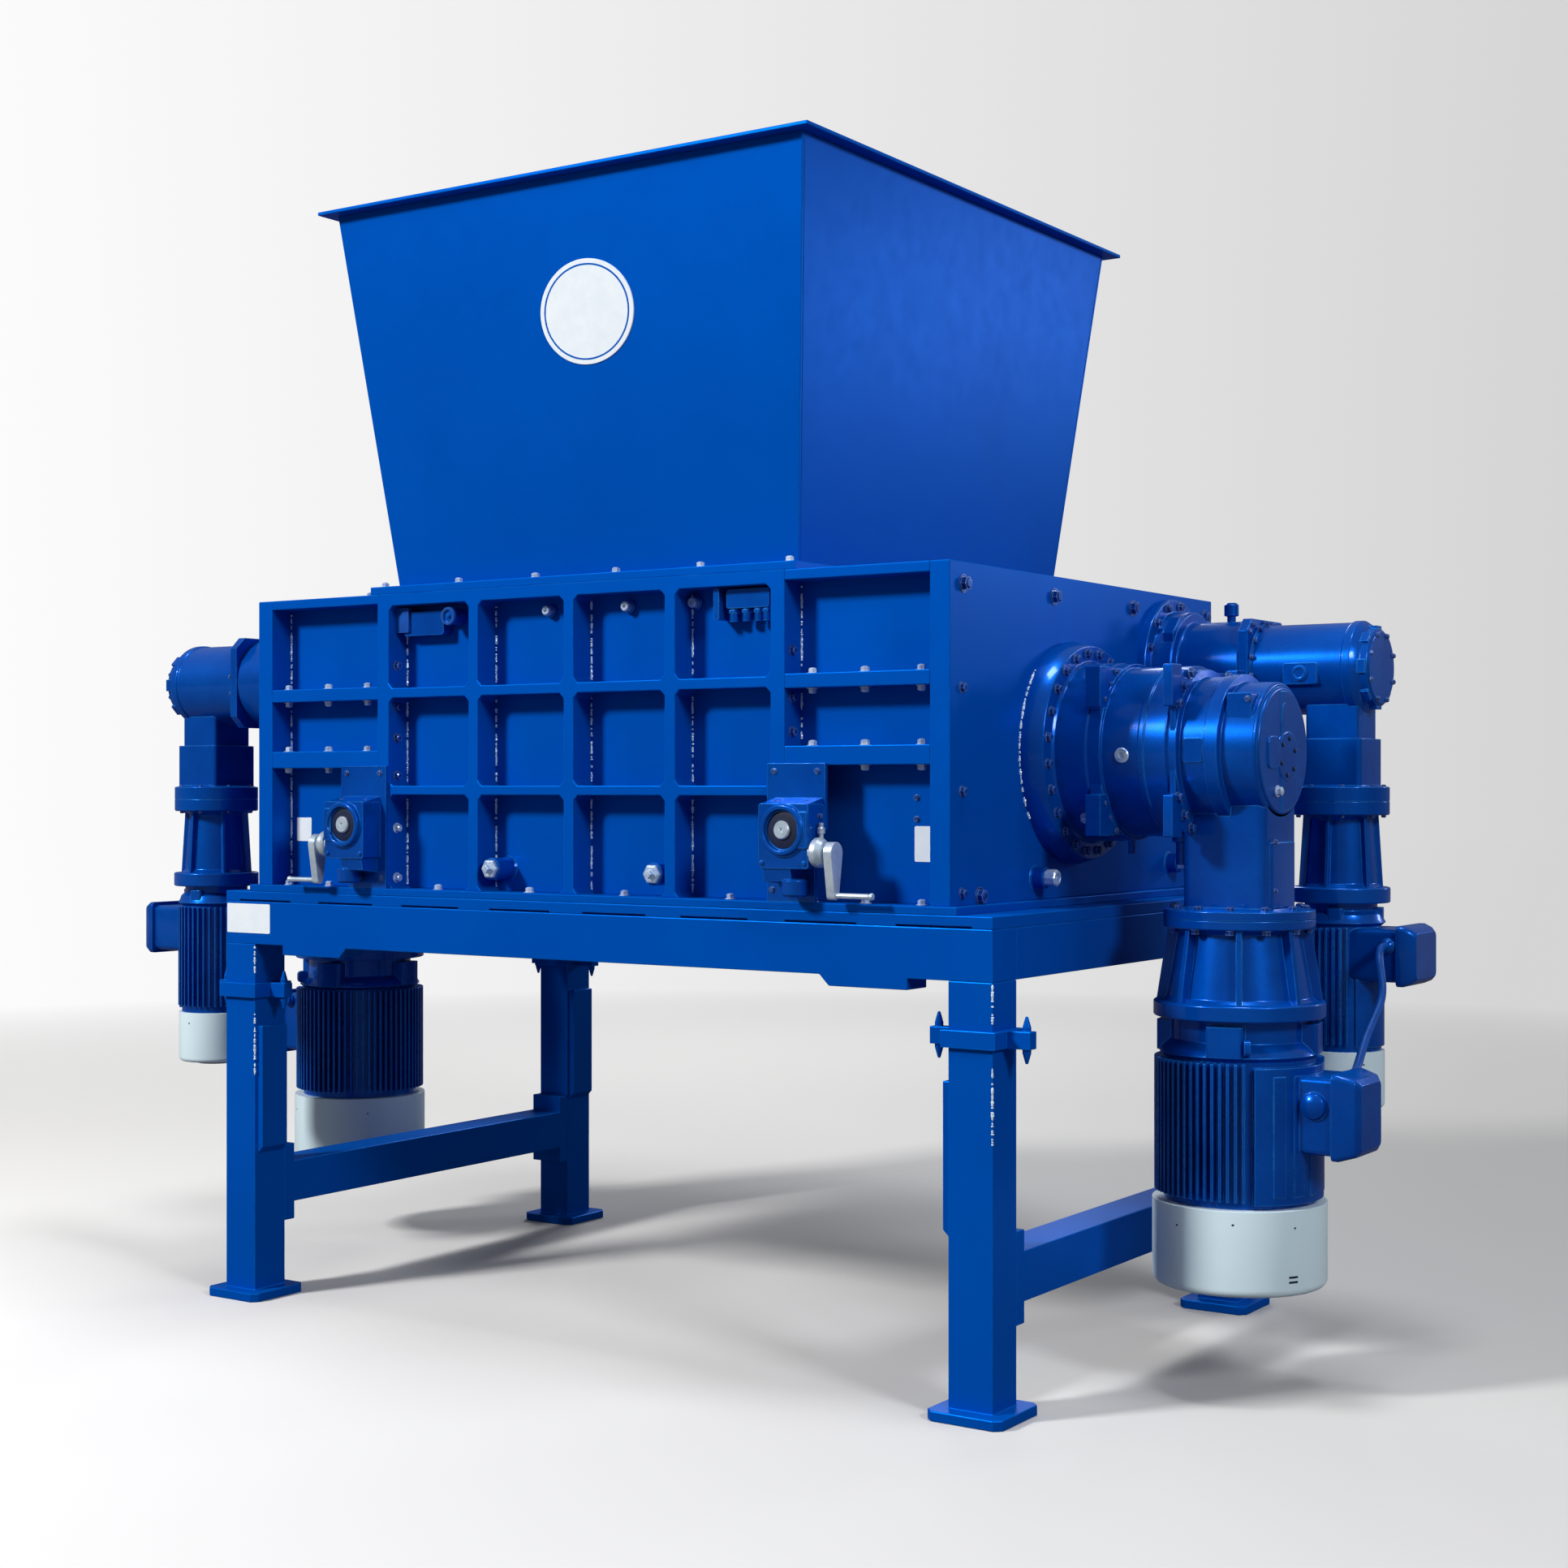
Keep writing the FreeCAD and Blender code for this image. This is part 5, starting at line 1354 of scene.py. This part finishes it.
def buildCrankShaft(values):
    face, radius = values["boxFace"], values["shaft"]
    bm = bmesh.new()
    addLathe(bm, [(face + 0.002, radius), (0.006, radius), (0.003, radius - 0.003), (0.003, 0.006), (0.007, 0.004)],
             borePlace(values), "y", 48)
    axisY, axisZ = crankAxis()
    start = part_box("right_crank_unit")[0].x + values["boxX"][1]
    hub, neck = values["hub"], values["hubNeck"]
    addLathe(bm, [(-0.002, neck), (0.001, neck), (0.004, hub - 0.003), (0.009, hub), (0.021, hub), (0.026, hub - 0.004),
                  (0.033, neck), (0.034, 0.0135), (0.012, 0.0135)], (start, axisY, axisZ), "x", 64)
    addLathe(bm, [(0, 0.006), (0.012, 0.006), (0.014, 0.010), (0.026, 0.010), (0.030, 0.006), (0.040, 0.006)],
             (start + 0.014, axisY + 0.010, axisZ + hub - 0.004), "z", 20)
    return bm


crankSet = {"boss": 0.027, "foot": 0.011, "thickness": 0.024, "throw": 0.104, "neck": 0.017,
            "grip": 0.007, "gripLength": 0.096, "knob": 0.009, "knobLength": 0.008}


def buildCrank(values):
    axisY, axisZ = crankAxis()
    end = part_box("right_crank")[1].x - values["gripLength"] - values["knobLength"]
    start = end - values["thickness"]
    lean = math.asin((values["boss"] - values["foot"]) / values["throw"])
    outline = []
    for centre, radius, first, last in ((axisZ, values["boss"], -lean, math.pi + lean),
                                        (axisZ - values["throw"], values["foot"], math.pi + lean, 2 * math.pi - lean)):
        for step in range(17):
            angle = first + (last - first) * step / 16
            outline.append((axisY + radius * math.cos(angle), centre + radius * math.sin(angle)))
    bm = bmesh.new()
    addPrism(bm, outline, "x", start, end)
    neck = values["neck"]
    addLathe(bm, [(-0.030, 0.012), (-0.008, 0.012), (-0.006, neck), (0.001, neck + 0.003), (0.006, neck + 0.004)],
             (start, axisY, axisZ), "x", 40)
    grip, knob, length = values["grip"], values["knob"], values["gripLength"]
    addLathe(bm, [(-0.004, grip), (length - 0.003, grip), (length, knob), (length + values["knobLength"] - 0.002, knob),
                  (length + values["knobLength"], knob - 0.003)], (end, axisY, axisZ - values["throw"]), "x", 32)
    return bm


def makeCranks():
    for side in ("right", "left"):
        for label, build, material, slot, stands in (
            ("Unit", buildCrankUnit, castBlue, "blue_paint", True),
            ("UnitDish", buildCrankDish, darkRubberAndShade, "blue_paint", False),
            ("UnitShaft", buildCrankShaft, brightSteel, "bright_steel", False),
        ):
            bm = build(crankUnitSet)
            if side == "left":
                mirrored(bm)
            makePiece(side + "Crank" + label, bm, material, bevel=0.0015 if label == "Unit" else 0.0,
                      stands=[side + "_crank_unit"] if stands else ())
        bm = buildCrank(crankSet)
        if side == "left":
            mirrored(bm)
        makePiece(side + "Crank", bm, brightSteel, side + "_crank", bevel=0.003, stands=[side + "_crank"])
    low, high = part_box("right_crank_unit")
    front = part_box("front_ribs")[0].y - crankUnitSet["plateThickness"]
    for sign in (1, -1):
        addBolts("trim", [(sign * (low.x + 0.022), front, high.z - 0.02), (sign * (low.x + 0.15), front, high.z - 0.02),
                          (sign * (low.x + 0.016), front, low.z + 0.03), (sign * (low.x + 0.1), front, low.z + 0.03)],
                 (0, -1, 0), bothEnds=False)
        addBolts("trim", [(sign * (low.x + 0.1695), front - 0.02, low.z + 0.11 + 0.026 * step) for step in range(5)],
                 (sign, 0, 0), bothEnds=False)
        addBolts("trim", [(sign * (low.x + 0.05), front - 0.03, low.z + 0.2465),
                          (sign * (low.x + 0.14), front - 0.03, low.z + 0.2465)], (0, 0, 1), bothEnds=False)


makeCranks()
print("cranks made")


# ribs, welds and fasteners of the housing
housingSet = {
    "posts": ((-0.67, 0.042), (-0.335, 0.033), (0.0, 0.033), (0.335, 0.033), (0.67, 0.042)),
    "cellRows": ((0.012, 0.250), (0.302, 0.524), (0.576, 0.782)),
    "bayRows": ((0.020, 0.330), (0.402, 0.520), (0.580, 0.790)),
    "bayX": (0.756, 0.910, 1.071),
    "shelfFaces": ((0.388, 1), (0.340, -1), (0.568, 1), (0.532, -1)),
    "postBoltRows": (0.628, 0.510, 0.424, 0.318, 0.170, 0.030),
    "cellsEnd": 0.70,  # beyond this there are bays, with rows of their own
}


def makeHousingDetails(values):
    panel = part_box("front_panel")[0].y
    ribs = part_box("front_ribs")
    base, rim = ribs[0].z, ribs[0].y
    for sign in (1, -1):  # the rear side has the same welds, bolts and plugs
        for x, width in values["posts"]:
            for side in (1, -1):
                for low, high in values["cellRows"]:
                    if abs(x + side * 0.1) > values["cellsEnd"]:
                        continue
                    seamX, seamY = sign * (x + side * (width / 2 + 0.002)), sign * (panel - 0.001)
                    addWeld([(seamX, seamY, base + low), (seamX, seamY, base + high)])
        for x, side in ((0.691, 1), (1.11, -1), (-0.691, -1), (-1.11, 1)):
            for low, high in values["bayRows"]:
                seamX, seamY = sign * (x + side * 0.002), sign * (panel - 0.001)
                addWeld([(seamX, seamY, base + low), (seamX, seamY, base + high)])
        for x in values["bayX"]:
            for mirror in (1, -1):
                for level, up in values["shelfFaces"]:
                    if up < 0 and level < 0.4 and x < 0.8:
                        continue  # the crank bracket stands there
                    addBolts("bright", [(sign * mirror * x, sign * (rim + 0.030), base + level)], (0, 0, up), bothEnds=False)
                addBolts("bright", [(sign * mirror * x, sign * (rim + 0.032), base)], (0, 0, 1), bothEnds=False)
        for side in (1, -1):
            for index, level in enumerate(values["postBoltRows"]):
                kind = "bright" if index > 3 else "flange"
                addBolts(kind, [(sign * side * 0.649, sign * (rim + 0.034), base + level)], (-sign * side, 0, 0),
                         bothEnds=False)
                addBolts("flange", [(sign * side * 0.691, sign * (rim + 0.034), base + level)], (sign * side, 0, 0),
                         bothEnds=False)
        for x in (-0.49, -0.16, 0.165, 0.505):
            addBolts("bright", [(sign * x, sign * (rim + 0.032), base)], (0, 0, 1), bothEnds=False)
        for x in (-0.119, 0.150, 0.369):
            addPlug((sign * x, sign * panel, base + 0.763), sign)
    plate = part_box("right_end_plate")[1].x
    addBolts("plate", [(plate, -0.704, base + 0.775), (plate, -0.229, base + 0.775), (plate, 0.235, base + 0.775),
                       (plate, 0.718, base + 0.778), (plate, -0.624, base + 0.020)], (1, 0, 0))
    addBolts("flange", [(plate, -0.712, base + 0.525), (plate, -0.712, base + 0.275), (plate, -0.712, base + 0.03),
                        (plate, 0.725, base + 0.525), (plate, 0.725, base + 0.275), (plate, 0.725, base + 0.03)], (1, 0, 0))
    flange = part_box("hopper_flange")
    for step in range(6):
        addBolts("bright", [(-0.6875 + 0.275 * step, flange[0].y + 0.028, flange[1].z)], (0, 0, 1))
    addBolts("bright", [(-0.735, flange[0].y + 0.04, ribs[1].z), (-0.775, flange[0].y + 0.06, ribs[1].z)], (0, 0, 1))


# seams on the legs
trimWeldSet = {"legRise": (0.66, 0.84), "legTop": (0.945, 1.030)}


def addTrimWelds(values):
    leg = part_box("front_right_leg")
    middleX, middleY = (leg[0].x + leg[1].x) / 2, (leg[0].y + leg[1].y) / 2
    for side in (1, -1):
        for low, high in (values["legRise"], values["legTop"]):
            x, y = side * middleX + 0.0592, middleY - 0.0592
            addWeld([(x, y, low), (x, y, high)], bothEnds=True)


plugPlaces = []


def addPlug(place, sign):
    plugPlaces.append((place, sign))


def buildPanelPlugs(stage):
    bm = bmesh.new()
    for (x, y, z), sign in plugPlaces:
        if stage == "boss":
            addLathe(bm, [(0, 0.019), (-sign * 0.008, 0.019), (-sign * 0.010, 0.016)], (x, y, z), "y", 24)
        else:
            addLathe(bm, [(0, 0.0135), (-sign * 0.026, 0.0135), (-sign * 0.029, 0.011), (-sign * 0.029, 0.005),
                          (-sign * 0.022, 0.004)], (x, y, z), "y", 24)
    return bm


pipeSet = {
    "frontStubs": ((-0.2746, 1.2775), (0.2777, 1.2745)), "stubRadius": 0.030, "plugRadius": 0.027,
    "endPlugs": ((-0.336, 1.271), (0.470, 1.287)), "endBoss": 0.027, "endReach": 0.036, "endPlug": 0.022,
}


def buildPipes(values, part):
    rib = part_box("front_ribs")[0].y
    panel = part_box("front_panel")[0].y
    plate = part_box("right_end_plate")[1].x
    bm = bmesh.new()
    radius, plug = values["stubRadius"], values["plugRadius"]
    for x, z in values["frontStubs"]:
        mouth = rib + 0.007
        if part == "stub":
            addLathe(bm, [(0, radius + 0.004), (-0.006, radius), (mouth - panel, radius), (mouth - panel - 0.003, radius - 0.004)],
                     (x, panel, z), "y", 40)
        else:
            addLathe(bm, [(0.004, plug), (-0.010, plug), (-0.013, plug - 0.005)], (x, mouth, z), "y", 6)
            addLathe(bm, [(-0.012, 0.013), (-0.024, 0.012), (-0.026, 0.010)], (x, mouth, z), "y", 4)
    for y, z in values["endPlugs"]:
        boss, reach, end = values["endBoss"], values["endReach"], values["endPlug"]
        if part == "stub":
            addLathe(bm, [(0, boss + 0.005), (0.004, boss), (reach - 0.003, boss), (reach, boss - 0.004)], (plate, y, z), "x", 40)
        else:
            addLathe(bm, [(reach - 0.004, end), (reach + 0.026, end), (reach + 0.030, end - 0.004), (reach + 0.030, 0.012),
                          (reach + 0.020, 0.010)], (plate, y, z), "x", 8)
    addTurnedCopy(bm)
    return bm


sensorSet = {
    "box": (-0.625, -0.475, 1.925, 1.992, 0.040),
    "cap": (-0.4413, 1.9740), "capRadius": 0.026, "capReach": 0.060,
    "tag": (-0.652, -0.600, 1.935, 2.004, 0.048),
    "valve": (0.492, 0.625, 1.925, 2.004, 0.046),
}


def buildSensors(values):
    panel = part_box("front_panel")[0].y
    bm = bmesh.new()
    x0, x1, z0, z1, depth = values["box"]
    addPrism(bm, roundedOutline(x0, x1, z0, z1, 0.010), "y", panel - depth, panel)
    x, z = values["cap"]
    radius, reach = values["capRadius"], values["capReach"]
    addLathe(bm, [(0, radius - 0.003), (-reach + 0.012, radius - 0.003), (-reach + 0.010, radius), (-reach + 0.002, radius),
                  (-reach, radius - 0.003), (-reach, radius - 0.007), (-reach + 0.004, radius - 0.009),
                  (-reach + 0.004, 0.006), (-reach - 0.002, 0.005)], (x, panel, z), "y", 48)
    addPrism(bm, roundedOutline(x1 - 0.01, x - 0.01, z - 0.014, z + 0.014, 0.006), "y", panel - 0.034, panel)
    x0, x1, z0, z1, depth = values["valve"]
    addPrism(bm, roundedOutline(x0, x1, z0 + 0.03, z1, 0.008), "y", panel - depth, panel)
    for step, share in enumerate((0.12, 0.42, 0.70, 0.90)):
        across = x0 + (x1 - x0) * share
        addLathe(bm, [(0, 0.013), (0.055 + 0.006 * (step % 2), 0.013), (0.060 + 0.006 * (step % 2), 0.010)],
                 (across, panel - 0.030, z0 - 0.004), "z", 24)
        addLathe(bm, [(0, 0.017), (0.008, 0.017)], (across, panel - 0.030, z0 + 0.018), "z", 6)
    addPrism(bm, roundedOutline(x0 - 0.032, x0 - 0.014, z0 + 0.002, z1 + 0.004, 0.004), "y", panel - 0.058, panel)
    return bm


def buildSensorTag(values):
    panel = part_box("front_panel")[0].y
    x0, x1, z0, z1, depth = values["tag"]
    bm = bmesh.new()
    addPrism(bm, roundedOutline(x0, x1, z0, z1, 0.003), "y", panel - depth, panel - depth + 0.010)
    x, z = values["cap"]
    reach, radius = values["capReach"], values["capRadius"]
    addRing(bm, [(-reach - 0.002, radius - 0.002), (-reach - 0.002, radius - 0.008), (-reach + 0.002, radius - 0.008),
                 (-reach + 0.002, radius - 0.002)], (x, panel, z), "y")
    return bm


labelSet = {
    "disc": {"centre": (0.0735, -0.7822, 2.7534), "radius": 0.156, "thickness": 0.003, "ring": (0.137, 0.143), "squash": 0.88,
             "wallLean": (0.140, 1.045)},
    "film": ((-1.086, -1.026, 1.342, 1.411, "panel"), (1.0234, 1.0805, 1.318, 1.405, "panel"),
             (-1.282, -1.105, 1.072, 1.158, "beam")),
    "thickness": 0.0012,
}


def buildDisc(values, outer, inner, lift):
    lean = math.atan2(*values["wallLean"])
    thickness = values["thickness"] + lift
    bm = bmesh.new()
    x, y, z = values["centre"]
    profile = [(0.004, outer), (-thickness + 0.001, outer), (-thickness, outer - 0.001)]
    if inner:
        addRing(bm, profile + [(-thickness, inner), (0.004, inner)], (x, y, z), "y", 96)
    else:
        addLathe(bm, profile, (x, y, z), "y", 96)
    bmesh.ops.scale(bm, vec=(1, 1, values["squash"]), space=Matrix.Translation((-x, -y, -z)), verts=bm.verts)
    turnMesh(bm, math.degrees(lean), (x, y, z), "x")
    return bm


def makeLabels(values):
    disc = values["disc"]
    bm = buildDisc(disc, disc["radius"], 0, 0)
    makePiece("hopperDisc", bm, labelFilm)
    bm = buildDisc(disc, disc["ring"][1], disc["ring"][0], 0.0004)
    makePiece("hopperDiscRing", bm, machineBlue)
    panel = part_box("front_panel")[0].y
    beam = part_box("front_beam")[0].y
    bm = bmesh.new()
    for x0, x1, z0, z1, carrier in values["film"]:
        face = panel if carrier == "panel" else beam
        addPrism(bm, roundedOutline(x0, x1, z0, z1, 0.004, 4), "y", face - values["thickness"], face + 0.001)
    makePiece("blankLabels", bm, labelFilm)
    addBolts("trim", [(1.029, panel, 1.4225), (1.0805, panel, 1.4215), (1.029, panel, 1.475)], (0, -1, 0), bothEnds=False)


makeHousingDetails(housingSet)
addTrimWelds(trimWeldSet)
makePiece("panelPlugBosses", buildPanelPlugs("boss"), castBlue)
makePiece("panelPlugs", buildPanelPlugs("plug"), wornBolt)
makePiece("drainStubs", buildPipes(pipeSet, "stub"), castBlue)
makePiece("drainPlugs", buildPipes(pipeSet, "plug"), wornBolt, bevel=0.0015)
makePiece("panelSensors", buildSensors(sensorSet), castBlue, bevel=0.001)
makePiece("sensorTags", buildSensorTag(sensorSet), cableSheath)
makeLabels(labelSet)
print("housing details made")

makeAllBolts()
# the beads' near-white finish is a painted glint
makeWelds({"Bead Radius": 0.0038, "Spacing": 0.0062, "Kept Share": 0.72, "Seed": 5, "Finish": weldPaintedGlint})
print("bolts and welds made")
